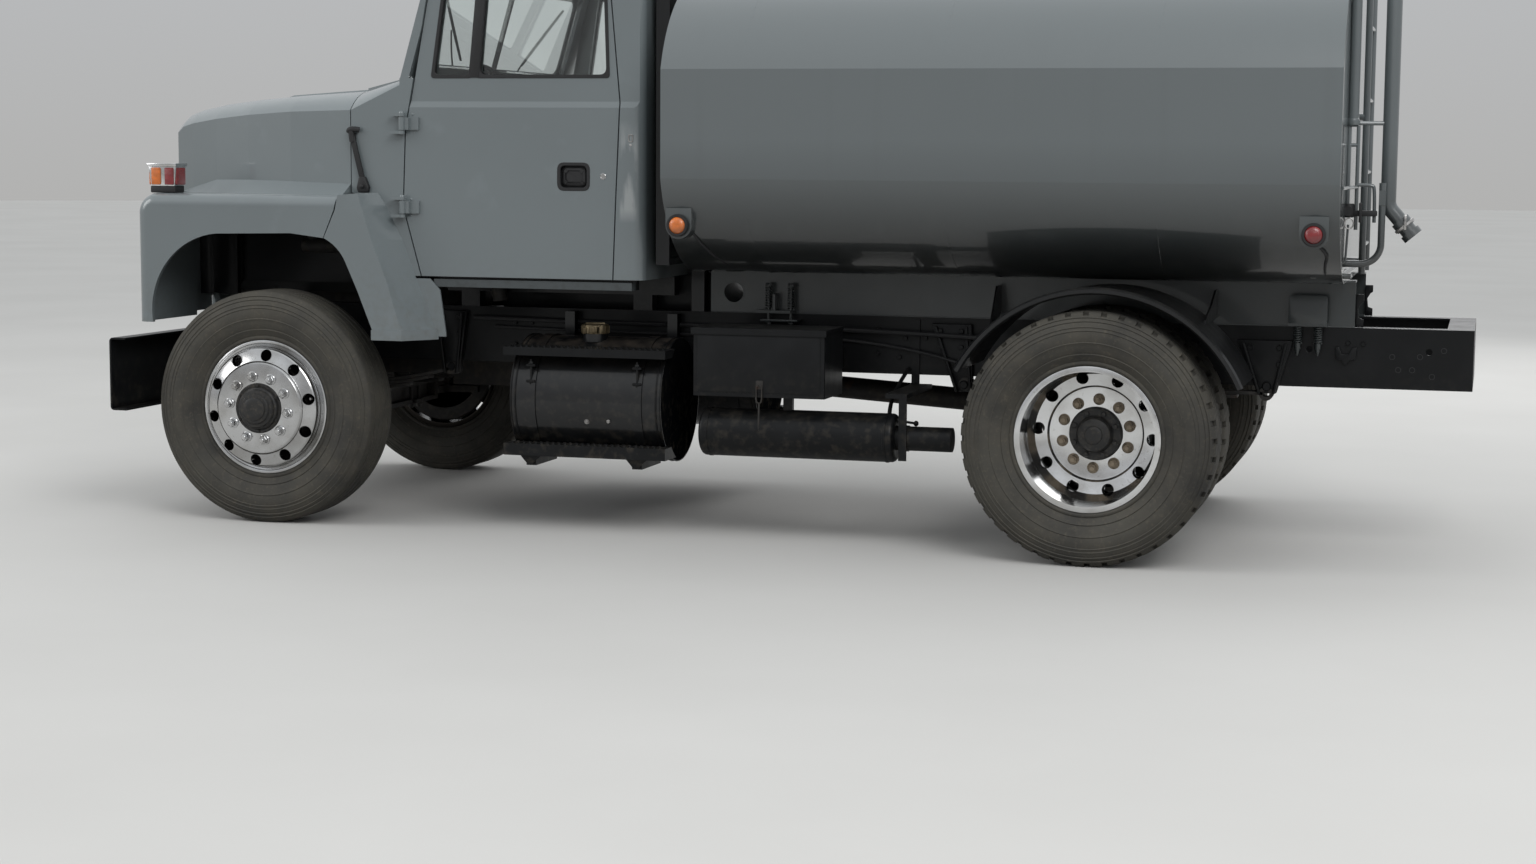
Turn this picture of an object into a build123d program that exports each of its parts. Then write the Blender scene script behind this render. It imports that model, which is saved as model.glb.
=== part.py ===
# Two-axle tanker truck: frame, axles, tilting hood, cab with doors, road tank with its sills and pipes.
# Millimetres. X points forward, Y to the driver's left, Z up. The origin lies on the ground, midway
# between the bumper's face and the frame's end.

import os
from math import cos, hypot, pi, radians, sin

from build123d import *

os.makedirs("parts", exist_ok=True)

# Driving dimensions: axles and ends
wheelbase = 3700
front_overhang = 720
rear_overhang = 1490
front_axle_x = (wheelbase + rear_overhang - front_overhang) / 2
rear_axle_x = front_axle_x - wheelbase
bumper_face_x = front_axle_x + front_overhang
frame_end_x = rear_axle_x - rear_overhang
seat_gap = 0.3
panel_gap = 6

# Tyres, wheels and hubs
tyre_radius = 520
tyre_width = 280
tread_width = 226
tyre_bulge_radius = 415
bead_radius = 287
bead_inset = 10
rim_width = 210
rim_flange_radius = 300
rim_wall = 12
disc_offset = 167
disc_thickness = 22
pilot_radius = 110
hand_hole_count = 10
hand_hole_radius = 25
hand_hole_circle = 237
front_hole_turn = 25
rear_hole_turn = 4
mount_face_radius = 191
tyre_sides = 48
front_wheel_y = 1000
dual_spacing = 2 * disc_offset
rear_outer_y = 1080
rear_mount_y = rear_outer_y - disc_offset
drum_radius = 205
drum_wall = 14
spindle_radius = 40
axle_z = tyre_radius
bearing_gap = 0.05

# Frame
rail_outer_y = 432
rail_depth = 254
rail_top_z = 950
rail_flange = 80
rail_wall = 8
rail_bottom_z = rail_top_z - rail_depth
rail_web_y = rail_outer_y - rail_wall
horn_top_z = 806
horn_start_x = bumper_face_x - 235
horn_end_x = bumper_face_x - 95
crossmember_width = 90
crossmember_z = (720, 930)
end_member_width = 110

# Bumper
bumper_half_width = 1200
bumper_top_z = 818
bumper_height = 328
bumper_depth = 80
bumper_wall = 8

# Front axle and steering
kingpin_y = 800
kingpin_radius = 22
eye_radius = 45
eye_height = 130
ear_height = 35
ear_gap = 5
beam_height = 110
beam_width = 110
beam_top_z = 505
backing_plate_radius = 195

# Leaf springs
spring_y = rail_outer_y
spring_width = 80
front_spring_half = 630
rear_spring_half = 650
front_spring_stack = 80
rear_spring_stack = 60
rear_spring_seat_z = 612
hanger_length = 60

# Rear axle
axle_tube_radius = 75
banjo_radius = 205
banjo_half_width = 150

# Engine, gearbox, driveshaft and radiator
engine_x = (1720, 2560)
engine_half_width = 310
engine_z = (620, 1450)
gearbox_x = 900
gearbox_half_width = 180
gearbox_z = (560, 900)
mount_x = 2100
shaft_radius = 50
shaft_front_z = 655
radiator_x = 2620
radiator_depth = 80
radiator_half_width = 420
radiator_top_z = 1640

# Cab
cab_half_width = 1010
cab_wall = 60
cab_back_x = 485
cab_back_wall_thickness = 50
cab_bottom_z = 1115
floor_thickness = 40
door_top_z = 2480
roof_top_z = 2600
roof_front_x = 1500
firewall_x = 1650
firewall_thickness = 40
hood_seam_x = 1845
belt_z = 1863
belt_step = 8
windshield_base = (1609, 1978)
windshield_top_x = 1461
windshield_wall = 40
windshield_half_width = 860
glass_thickness = 6

# Door outline as (X, Z), clockwise from the lower front corner
door_outline = (
    (1513, 1115),
    (1596, 1416),
    (1583, 1752),
    (1563, 1861),
    (1447, door_top_z),
    (648, door_top_z),
    (636, 2305),
    (596, 1862),
    (614, 1458),
    (627, 1115),
)
vent_outline = ((1458, 1985), (1392, 2430), (1238, 2430), (1282, 1985))
window_outline = ((1246, 1985), (1202, 2430), (662, 2430), (648, 1985))
hinge_x = 1590
hinge_y = 1040
hinge_radius = 12
hinge_heights = (1416, 1780)

# Hood: sections from rear to front as X, half width, shoulder Z, top Z, width and height of the flared foot
nose_x = 2885
hood_sections = (
    (hood_seam_x + panel_gap, 1006, 1839, 1938, 88, 48),
    (2169, 948, 1832, 1918, 95, 56),
    (2408, 886, 1818, 1901, 100, 60),
    (2609, 815, 1800, 1882, 95, 58),
    (2763, 750, 1780, 1857, 50, 22),
    (2831, 716, 1764, 1840, 6, 4),
    (2868, 696, 1738, 1812, 4, 3),
    (nose_x, 668, 1702, 1770, 3, 2),
)
hood_wall = 22
bulge_half_width = 430
bulge_height = 14
hood_base_z = 1467
nose_bottom_z = 905
nose_wall = 25
grille_half_width = 500
grille_z = (1010, 1640)
hood_pivot_x = 2820
hood_pivot_z = 880
hood_pin_radius = 9
hinge_lug_y = rail_outer_y - rail_flange / 2

# Front fenders
fender_outer_y = 1150
fender_inner_y = 640
fender_wall = 20
fender_front_x = 2838
fender_bottom_z = 890
fender_round = 50

# Tank
tank_front_x = 335
tank_rear_x = -2437
tank_half_width = 1235
tank_side_z = (1555, 2007)
tank_floor_half = 648
tank_floor_z = 1148
tank_crown_z = 2440
head_rim = 30
head_recess = 15
manhole_x = -700
manhole_radius = 255
manhole_height = 70
lid_radius = 275
lid_thickness = 14
lid_pin_radius = 7
lid_pivot_x = manhole_x - lid_radius - 30
lid_pivot_z = tank_crown_z + manhole_height + seat_gap + lid_thickness / 2

# Sills between tank and frame
sill_front_x = 360
sill_rear_x = -2469
sill_wall = 8
sill_flange = 80

# Rear fenders
rear_fender_radius = 640
rear_fender_centre = (-1490, 486)
rear_fender_inner_y = 640
rear_fender_outer_y = 1215
rear_fender_lip = 22

# Fuel tanks, steps, battery box and muffler
fuel_tank_radius = 270
fuel_tank_y = 722
fuel_tank_z = 580
fuel_tank_x = (412, 1108)
strap_x = (500, 990)
strap_width = 46
upper_step_z = (778, 814)
lower_step_z = (338, 390)
step_outer_y = 1010
battery_x = (-320, 264)
battery_y = (690, 1000)
battery_z = (628, 908)
muffler_x = (-612, 250)
muffler_y = 880
muffler_z = 463
muffler_radius = 104
tail_radius = 52
tail_end_x = -850

sides = (("left", 1), ("right", -1))


def save(piece, name):
    """Label a finished piece and write it."""
    piece.part.label = name
    export_step(piece.part, f"parts/{name}.step")


def axle_plane(x, y, z=axle_z):
    """Plane at a wheel's middle: its local Y runs along the axle."""
    return Plane(origin=(x, y, z), x_dir=(1, 0, 0), z_dir=(0, 0, 1))


def turned(x, y, section):
    """Turn a closed section, given as radius and offset along the axle, about the axle's line."""
    with BuildSketch(axle_plane(x, y)) as profile:
        with BuildLine():
            Polyline(*section, close=True)
        make_face()
    revolve(profile.sketch, axis=Axis((x, y, axle_z), (0, 1, 0)))


def side_slab(points, y_low, y_high, mode=Mode.ADD):
    """Raise a flat outline of X, Z points between two values of Y."""
    with BuildSketch(Plane.XZ.offset(-y_low)) as outline:
        with BuildLine():
            Polyline(*points, close=True)
        make_face()
    extrude(outline.sketch, amount=y_low - y_high, mode=mode)


def block(x, y, z, mode=Mode.ADD):
    """Box between pairs of limits along X, Y and Z."""
    middle = tuple((low + high) / 2 for low, high in (x, y, z))
    with Locations(middle):
        Box(x[1] - x[0], y[1] - y[0], z[1] - z[0], mode=mode)


def span(y, side):
    """Limits along Y on one side of the vehicle, low first."""
    return tuple(sorted(side * value for value in y))


# Wheel: rim and disc in one section; the disc bulges towards facing
def wheel_section(facing):
    half = rim_width / 2
    lip = half - bead_inset + seat_gap
    slope = (tyre_width / 2 - half + bead_inset) / (tyre_bulge_radius - bead_radius)
    flange = lip + slope * (rim_flange_radius - bead_radius) + seat_gap / 2
    barrel = bead_radius - rim_wall
    inset = disc_offset - disc_thickness
    points = (
        (barrel, -half),
        (rim_flange_radius, -half),
        (rim_flange_radius, -flange),
        (bead_radius, -lip),
        (bead_radius, lip),
        (rim_flange_radius, flange),
        (rim_flange_radius, half),
        (barrel, half),
        (barrel - 8, half + 20),
        (barrel - 17, half + 33),
        (mount_face_radius + 22, disc_offset - 17),
        (mount_face_radius + 13, disc_offset - 3),
        (mount_face_radius, disc_offset),
        (pilot_radius, disc_offset),
        (pilot_radius, inset),
        (mount_face_radius - 7, inset),
        (mount_face_radius + 5, inset - 15),
        (barrel - 25, half + 12),
        (barrel, half - 30),
    )
    return [(radius, facing * offset) for radius, offset in points]


def wheel_cut(x, y, facing, turn):
    """Cut the hand holes through the disc, the first one turned up from the front."""
    face = Plane(origin=(x, y, axle_z), x_dir=(1, 0, 0), z_dir=(0, facing, 0))
    with BuildSketch(face) as holes:
        with PolarLocations(hand_hole_circle, hand_hole_count, start_angle=-facing * turn):
            Circle(hand_hole_radius)
    extrude(holes.sketch, amount=disc_offset + disc_thickness, mode=Mode.SUBTRACT)


def tyre_ring(x, y, radius, offset_y):
    """Corners of one many-sided ring about the axle."""
    turns = [2 * pi * corner / tyre_sides for corner in range(tyre_sides)]
    return [Vector(x + radius * cos(turn), y + offset_y, axle_z + radius * sin(turn)) for turn in turns]


def tyre_solid(x, y):
    """One tyre of flat faces: tread and shoulders outside, the beads and the wheel's seat inside."""
    bulge = tyre_width / 2
    tread = tread_width / 2
    bead = rim_width / 2 - bead_inset
    seat = (bead_radius + seat_gap) / cos(pi / tyre_sides)
    section = (
        (tyre_bulge_radius, -bulge),
        (tyre_radius, -tread),
        (tyre_radius, tread),
        (tyre_bulge_radius, bulge),
        (seat, bead),
        (seat, -bead),
    )
    rings = [tyre_ring(x, y, radius, offset_y) for radius, offset_y in section]
    faces = []
    for ring, following in zip(rings, rings[1:] + rings[:1]):
        for corner in range(tyre_sides):
            ahead = (corner + 1) % tyre_sides
            outline = Wire.make_polygon((ring[corner], ring[ahead], following[ahead], following[corner]))
            faces.append(Face(outline))
    add(Solid(Shell(faces)))


# Front wheels
front_hub_section = (
    (spindle_radius + bearing_gap, -70),
    (72, -70),
    (72, 100),
    (drum_radius - drum_wall, 100),
    (drum_radius - drum_wall, -80),
    (drum_radius, -80),
    (drum_radius, 122),
    (165, 122),
    (165, disc_offset - disc_thickness - seat_gap),
    (pilot_radius - seat_gap, disc_offset - disc_thickness - seat_gap),
    (pilot_radius - seat_gap, disc_offset + 4),
    (84, disc_offset + 8),
    (76, disc_offset + 44),
    (0, disc_offset + 50),
    (0, disc_offset + 22),
    (spindle_radius + bearing_gap, disc_offset + 22),
)
for side_name, side in sides:
    y = side * front_wheel_y
    with BuildPart() as tyre:
        tyre_solid(front_axle_x, y)
    save(tyre, f"tyre_front_{side_name}")
    with BuildPart() as wheel:
        turned(front_axle_x, y, wheel_section(side))
        wheel_cut(front_axle_x, y, side, front_hole_turn)
    save(wheel, f"wheel_front_{side_name}")
    with BuildPart() as hub:
        turned(front_axle_x, y, [(r, side * v) for r, v in front_hub_section])
    save(hub, f"hub_front_{side_name}")

# Rear twin wheels
rear_inner_y = rear_outer_y - dual_spacing
rear_hub_section = (
    (60 + bearing_gap, 650),
    (88, 650),
    (88, 848),
    (drum_radius - drum_wall, 848),
    (drum_radius - drum_wall, 645),
    (drum_radius, 645),
    (drum_radius, rear_mount_y - 44),
    (165, rear_mount_y - 44),
    (165, rear_mount_y - disc_thickness - seat_gap),
    (pilot_radius - seat_gap, rear_mount_y - disc_thickness - seat_gap),
    (pilot_radius - seat_gap, rear_mount_y + 34),
    (100, rear_mount_y + 38),
    (94, rear_mount_y + 92),
    (80, rear_mount_y + 104),
    (0, rear_mount_y + 104),
    (0, rear_mount_y + 84),
    (60 + bearing_gap, rear_mount_y + 84),
)
for side_name, side in sides:
    with BuildPart() as tyres:
        for y in (rear_outer_y, rear_inner_y):
            tyre_solid(rear_axle_x, side * y)
    save(tyres, f"tyres_rear_{side_name}")
    with BuildPart() as wheels:
        for y, facing, gap in ((rear_outer_y, -1, seat_gap / 2), (rear_inner_y, 1, -seat_gap / 2)):
            centre = side * (y + gap)
            turned(rear_axle_x, centre, wheel_section(side * facing))
            wheel_cut(rear_axle_x, centre, side * facing, rear_hole_turn)
    save(wheels, f"wheels_rear_{side_name}")
    with BuildPart() as hub:
        turned(rear_axle_x, 0, [(r, side * v) for r, v in rear_hub_section])
    save(hub, f"hub_rear_{side_name}")

# Knuckles: yoke round the beam's eye, brake backing plate and spindle
eye_low = axle_z - eye_height / 2
eye_high = axle_z + eye_height / 2
for side_name, side in sides:
    with BuildPart() as knuckle:
        for low in (eye_low - ear_gap - ear_height, eye_high + ear_gap):
            with Locations((front_axle_x, side * kingpin_y, low + ear_height / 2)):
                Cylinder(eye_radius + 3, ear_height)
            block(
                (front_axle_x - 45, front_axle_x + 45),
                span((kingpin_y, kingpin_y + 80), side),
                (low, low + ear_height),
            )
        block(
            (front_axle_x - 50, front_axle_x + 50),
            span((kingpin_y + 52, kingpin_y + 84), side),
            (eye_low - ear_gap - ear_height, eye_high + ear_gap + ear_height),
        )
        with Locations((front_axle_x, side * kingpin_y, axle_z)):
            Cylinder(kingpin_radius + bearing_gap, 400, mode=Mode.SUBTRACT)
        with BuildSketch(Plane(origin=(front_axle_x, side * (kingpin_y + 60), axle_z), z_dir=(0, side, 0))):
            Circle(70)
        extrude(amount=front_wheel_y - 100 - kingpin_y - 60)
        back_y = side * (front_wheel_y - 100)
        with BuildSketch(Plane(origin=(front_axle_x, back_y, axle_z), z_dir=(0, side, 0))):
            Circle(backing_plate_radius)
        extrude(amount=12)
        with BuildSketch(Plane(origin=(front_axle_x, back_y, axle_z), z_dir=(0, side, 0))):
            Circle(spindle_radius)
        extrude(amount=disc_offset + 115)
        block(
            (front_axle_x - 210, front_axle_x - 40),
            span((kingpin_y + 54, kingpin_y + 80), side),
            (eye_low - ear_gap - ear_height, eye_low - ear_gap),
        )
    save(knuckle, f"knuckle_{side_name}")

# Front axle beam with its pads, eyes and kingpins
with BuildPart() as front_axle_beam:
    beam_end = kingpin_y - 100
    block(
        (front_axle_x - beam_width / 2, front_axle_x + beam_width / 2),
        (-beam_end, beam_end),
        (beam_top_z - beam_height, beam_top_z),
    )
    for face in (-1, 1):
        block(
            tuple(sorted((front_axle_x + face * 12, front_axle_x + face * beam_width))),
            (-beam_end + 40, beam_end - 40),
            (beam_top_z - beam_height + 22, beam_top_z - 22),
            mode=Mode.SUBTRACT,
        )
    for side in (1, -1):
        block(
            (front_axle_x - 40, front_axle_x + 40),
            span((beam_end - 20, kingpin_y), side),
            (eye_low, eye_high - 25),
        )
        with Locations((front_axle_x, side * kingpin_y, axle_z)):
            Cylinder(eye_radius, eye_height)
            Cylinder(kingpin_radius, eye_height + 2 * (ear_gap + ear_height) + 10)
save(front_axle_beam, "front_axle_beam")

# Rear axle: tube, banjo with its nose, backing plates and spring seats
with BuildPart() as rear_axle:
    with BuildSketch(axle_plane(rear_axle_x, 0)):
        with BuildLine():
            Polyline(
                (0, -rear_mount_y - 76),
                (60, -rear_mount_y - 76),
                (60, -632),
                (195, -632),
                (195, -618),
                (axle_tube_radius, -618),
                (axle_tube_radius, -banjo_half_width - 60),
                (banjo_radius, -banjo_half_width + 70),
                (banjo_radius, banjo_half_width - 70),
                (axle_tube_radius, banjo_half_width + 60),
                (axle_tube_radius, 618),
                (195, 618),
                (195, 632),
                (60, 632),
                (60, rear_mount_y + 76),
                (0, rear_mount_y + 76),
                close=True,
            )
        make_face()
    revolve(axis=Axis((rear_axle_x, 0, axle_z), (0, 1, 0)))
    with BuildSketch(Plane(origin=(rear_axle_x, 0, axle_z), z_dir=(1, 0, 0))):
        Circle(75)
    extrude(amount=banjo_radius + 35)
    for side in (1, -1):
        block(
            (rear_axle_x - 60, rear_axle_x + 60),
            span((spring_y - spring_width / 2, spring_y + spring_width / 2), side),
            (axle_z, rear_spring_seat_z),
        )
save(rear_axle, "rear_axle")


# Leaf springs: a bowed pack with a hanger at each end, under each rail
def spring_pack(x, half, seat_z, stack, y_low):
    """Bowed pack of leaves, raised from its lower side in Y."""
    tip_low = rail_bottom_z - 56
    tip_high = rail_bottom_z - 26
    with BuildSketch(Plane.XZ.offset(-y_low)) as profile:
        with BuildLine():
            ThreePointArc((x - half, tip_low), (x, seat_z), (x + half, tip_low))
            Line((x + half, tip_low), (x + half, tip_high))
            ThreePointArc((x - half, tip_high), (x, seat_z + stack), (x + half, tip_high))
            Line((x - half, tip_low), (x - half, tip_high))
        make_face()
    extrude(profile.sketch, amount=-spring_width)


with BuildPart() as leaf_springs:
    for x, half, seat_z, stack in (
        (front_axle_x, front_spring_half, beam_top_z, front_spring_stack),
        (rear_axle_x, rear_spring_half, rear_spring_seat_z, rear_spring_stack),
    ):
        for side in (1, -1):
            y_low = side * spring_y - spring_width / 2
            spring_pack(x, half, seat_z, stack, y_low)
            for end in (-1, 1):
                tip = x + end * half
                block(
                    (tip - hanger_length / 2, tip + hanger_length / 2),
                    (y_low + 6, y_low + spring_width - 6),
                    (rail_bottom_z - 60, rail_bottom_z),
                )
save(leaf_springs, "leaf_springs")

# Frame rails: channels open inwards, with a horn that drops to the bumper
rail_front_x = bumper_face_x - bumper_wall
rail_outline = (
    (frame_end_x, rail_bottom_z),
    (rail_front_x, rail_bottom_z),
    (rail_front_x, horn_top_z),
    (horn_end_x, horn_top_z),
    (horn_start_x, rail_top_z),
    (frame_end_x, rail_top_z),
)
rail_hollow = (
    (frame_end_x, rail_bottom_z + rail_wall),
    (rail_front_x, rail_bottom_z + rail_wall),
    (rail_front_x, horn_top_z - rail_wall),
    (horn_end_x - 4, horn_top_z - rail_wall),
    (horn_start_x - 4, rail_top_z - rail_wall),
    (frame_end_x, rail_top_z - rail_wall),
)
rail_hole_x = (
    rear_axle_x + 720,
    rear_axle_x + 600,
    rear_axle_x - 700,
    rear_axle_x - 820,
    frame_end_x + 180,
)
for side_name, side in sides:
    with BuildPart() as rail:
        side_slab(rail_outline, *span((rail_outer_y - rail_flange, rail_outer_y), side))
        side_slab(rail_hollow, *span((rail_outer_y - rail_flange, rail_web_y), side), mode=Mode.SUBTRACT)
        with BuildSketch(Plane.XZ.offset(-side * rail_outer_y)):
            for x in rail_hole_x:
                with Locations((x, rail_bottom_z + 160)):
                    Circle(14)
        extrude(amount=side * rail_wall * 1.5, mode=Mode.SUBTRACT)
    save(rail, f"frame_rail_{side_name}")

# Crossmembers between the rails' webs, and the closing channel at the frame's end
with BuildPart() as frame_crossmembers:
    for x in (radiator_x - 5, gearbox_x - 140, -250, rear_axle_x + 480, rear_axle_x - 520):
        block((x, x + crossmember_width), (-rail_web_y, rail_web_y), crossmember_z)
        block(
            (x + 8, x + crossmember_width),
            (-rail_web_y, rail_web_y),
            (crossmember_z[0] + 8, crossmember_z[1] - 8),
            mode=Mode.SUBTRACT,
        )
    inner_y = rail_outer_y - rail_flange
    end_x = (frame_end_x, frame_end_x + end_member_width)
    block(end_x, (-inner_y, inner_y), (rail_bottom_z, rail_top_z))
    block(
        (frame_end_x + rail_wall, end_x[1]),
        (-inner_y, inner_y),
        (rail_bottom_z + rail_wall, rail_top_z - rail_wall),
        mode=Mode.SUBTRACT,
    )
    block(
        (frame_end_x, frame_end_x + rail_wall),
        (-rail_web_y, rail_web_y),
        (rail_bottom_z + rail_wall, rail_top_z - rail_wall),
    )
save(frame_crossmembers, "frame_crossmembers")

# Bumper: a channel open to the rear
with BuildPart() as bumper:
    low = bumper_top_z - bumper_height
    bumper_x = (bumper_face_x - bumper_depth, bumper_face_x)
    block(bumper_x, (-bumper_half_width, bumper_half_width), (low, bumper_top_z))
    fillet(bumper.edges().filter_by(Axis.Y).group_by(Axis.X)[-1], 18)
    block(
        (bumper_face_x - bumper_depth, bumper_face_x - bumper_wall),
        (-bumper_half_width, bumper_half_width),
        (low + bumper_wall, bumper_top_z - bumper_wall),
        mode=Mode.SUBTRACT,
    )
save(bumper, "bumper")

# Engine and gearbox as one block, on mounts between the webs
with BuildPart() as engine_block:
    block(engine_x, (-engine_half_width, engine_half_width), engine_z)
    block((gearbox_x, engine_x[0]), (-gearbox_half_width, gearbox_half_width), gearbox_z)
    block((mount_x - 50, mount_x + 50), (-rail_web_y, rail_web_y), (760, 860))
save(engine_block, "engine_block")

with BuildPart() as driveshaft:
    pinion_x = rear_axle_x + banjo_radius + 35
    ends = ((gearbox_x, shaft_front_z, -1), (pinion_x, axle_z, 1))
    for x, z, facing in ends:
        with BuildSketch(Plane(origin=(x, 0, z), z_dir=(facing, 0, 0))):
            Circle(65)
        extrude(amount=30)
    run = hypot(gearbox_x - pinion_x, shaft_front_z - axle_z)
    slope = ((gearbox_x - pinion_x) / run, (shaft_front_z - axle_z) / run)
    start = Plane(origin=(pinion_x + 20 * slope[0], 0, axle_z + 20 * slope[1]), z_dir=(slope[0], 0, slope[1]))
    with BuildSketch(start):
        Circle(shaft_radius)
    extrude(amount=run - 40)
save(driveshaft, "driveshaft")

with BuildPart() as radiator:
    radiator_y = (-radiator_half_width, radiator_half_width)
    block((radiator_x, radiator_x + radiator_depth), radiator_y, (rail_top_z, radiator_top_z))
    fillet(radiator.edges().filter_by(Axis.X), 15)
save(radiator, "radiator")

# Cab floor with its sill strips and mounts on the rails
floor_half = cab_half_width - cab_wall - 5
strip_x = (541, 1460)
with BuildPart() as cab_floor:
    block(
        (cab_back_x + cab_back_wall_thickness, firewall_x),
        (-floor_half, floor_half),
        (cab_bottom_z, cab_bottom_z + floor_thickness),
    )
    for side in (1, -1):
        strip_y = span((floor_half - 45, cab_half_width - 10), side)
        block(strip_x, strip_y, (cab_bottom_z - 46, cab_bottom_z - 12))
        block(strip_x, span((floor_half - 45, floor_half - 5), side), (cab_bottom_z - 20, cab_bottom_z))
        beam_y = span((rail_outer_y - 75, rail_outer_y - 5), side)
        block((cab_back_x + cab_back_wall_thickness, 1640), beam_y, (cab_bottom_z - 95, cab_bottom_z))
        for x in (640, 1480):
            block((x, x + 90), beam_y, (rail_top_z, cab_bottom_z))
save(cab_floor, "cab_floor")


def door_opening():
    """Cut the door's outline, widened by the panel gap, through both side walls."""
    for side in (1, -1):
        y_low, y_high = span((cab_half_width - cab_wall - panel_gap, cab_half_width + 5), side)
        with BuildSketch(Plane.XZ.offset(-y_low)) as opening:
            with BuildLine():
                Polyline(*door_outline, close=True)
            make_face()
            offset(amount=panel_gap, kind=Kind.INTERSECTION)
        extrude(opening.sketch, amount=y_low - y_high, mode=Mode.SUBTRACT)


def set_back_above_belt():
    """Set both side walls back above the belt crease."""
    for side in (1, -1):
        with BuildSketch(Plane.YZ.offset(cab_back_x - 5)) as above:
            with BuildLine():
                Polyline(
                    (side * (cab_half_width + 1), belt_z - 15),
                    (side * (cab_half_width - belt_step), belt_z + 14),
                    (side * (cab_half_width - belt_step), door_top_z + panel_gap + 5),
                    (side * (cab_half_width + 1), door_top_z + panel_gap + 5),
                    close=True,
                )
            make_face()
        extrude(above.sketch, amount=firewall_x - cab_back_x, mode=Mode.SUBTRACT)


# Back wall wrapped round to the doors, with the rear window cut
rear_window = ((-420, 420), (1960, 2360))
with BuildPart() as cab_back_wall:
    back_x = (cab_back_x, cab_back_x + cab_back_wall_thickness)
    pillar_x = (cab_back_x, door_outline[5][0] + 20)
    block(back_x, (-cab_half_width, cab_half_width), (cab_bottom_z, door_top_z + panel_gap))
    for side in (1, -1):
        block(
            pillar_x,
            span((cab_half_width - cab_wall, cab_half_width), side),
            (cab_bottom_z, door_top_z + panel_gap),
        )
    fillet(cab_back_wall.edges().filter_by(Axis.Z).group_by(Axis.X)[0], 45)
    door_opening()
    set_back_above_belt()
    block((cab_back_x - 5, back_x[1] + 5), *rear_window, mode=Mode.SUBTRACT)
save(cab_back_wall, "cab_back_wall")

with BuildPart() as cab_roof:
    block((cab_back_x, roof_front_x), (-cab_half_width, cab_half_width), (door_top_z + panel_gap, roof_top_z))
    fillet(cab_roof.edges().group_by(Axis.Z)[-1] + cab_roof.edges().filter_by(Axis.Z), 45)
    block(
        (cab_back_x + 60, roof_front_x - 100),
        (-cab_half_width + cab_wall, cab_half_width - cab_wall),
        (door_top_z + panel_gap, roof_top_z - 30),
        mode=Mode.SUBTRACT,
    )
save(cab_roof, "cab_roof")

# Cowl: side plates, firewall, top and windshield frame
screen_low_x, screen_low_z = windshield_base
screen_top_z = door_top_z + panel_gap


def screen_x(z):
    """Front face of the windshield frame at one height."""
    share = (z - screen_low_z) / (screen_top_z - screen_low_z)
    return screen_low_x + share * (windshield_top_x - screen_low_x)


def shoulder_points(half, shoulder, top):
    """Middle and end of the arc that turns a side into the crown, for its start at the shoulder."""
    rise = top - shoulder
    return (half - 0.47 * rise, top - 0.61 * rise), (half - 1.86 * rise, top - 0.137 * rise)


def shoulder_waste(x, shoulder, top, side):
    """What lies outside the cowl's rounded shoulder at one X."""
    middle, knee = shoulder_points(cab_half_width, shoulder, top)
    with BuildSketch(Plane(origin=(x, 0, 0), x_dir=(0, side, 0), z_dir=(side, 0, 0))) as waste:
        with BuildLine():
            ThreePointArc((cab_half_width, shoulder), middle, knee)
            Polyline(knee, (knee[0], top + 60), (cab_half_width + 5, top + 60), (cab_half_width + 5, shoulder))
            Line((cab_half_width + 5, shoulder), (cab_half_width, shoulder))
        make_face()
    return waste.sketch


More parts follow.
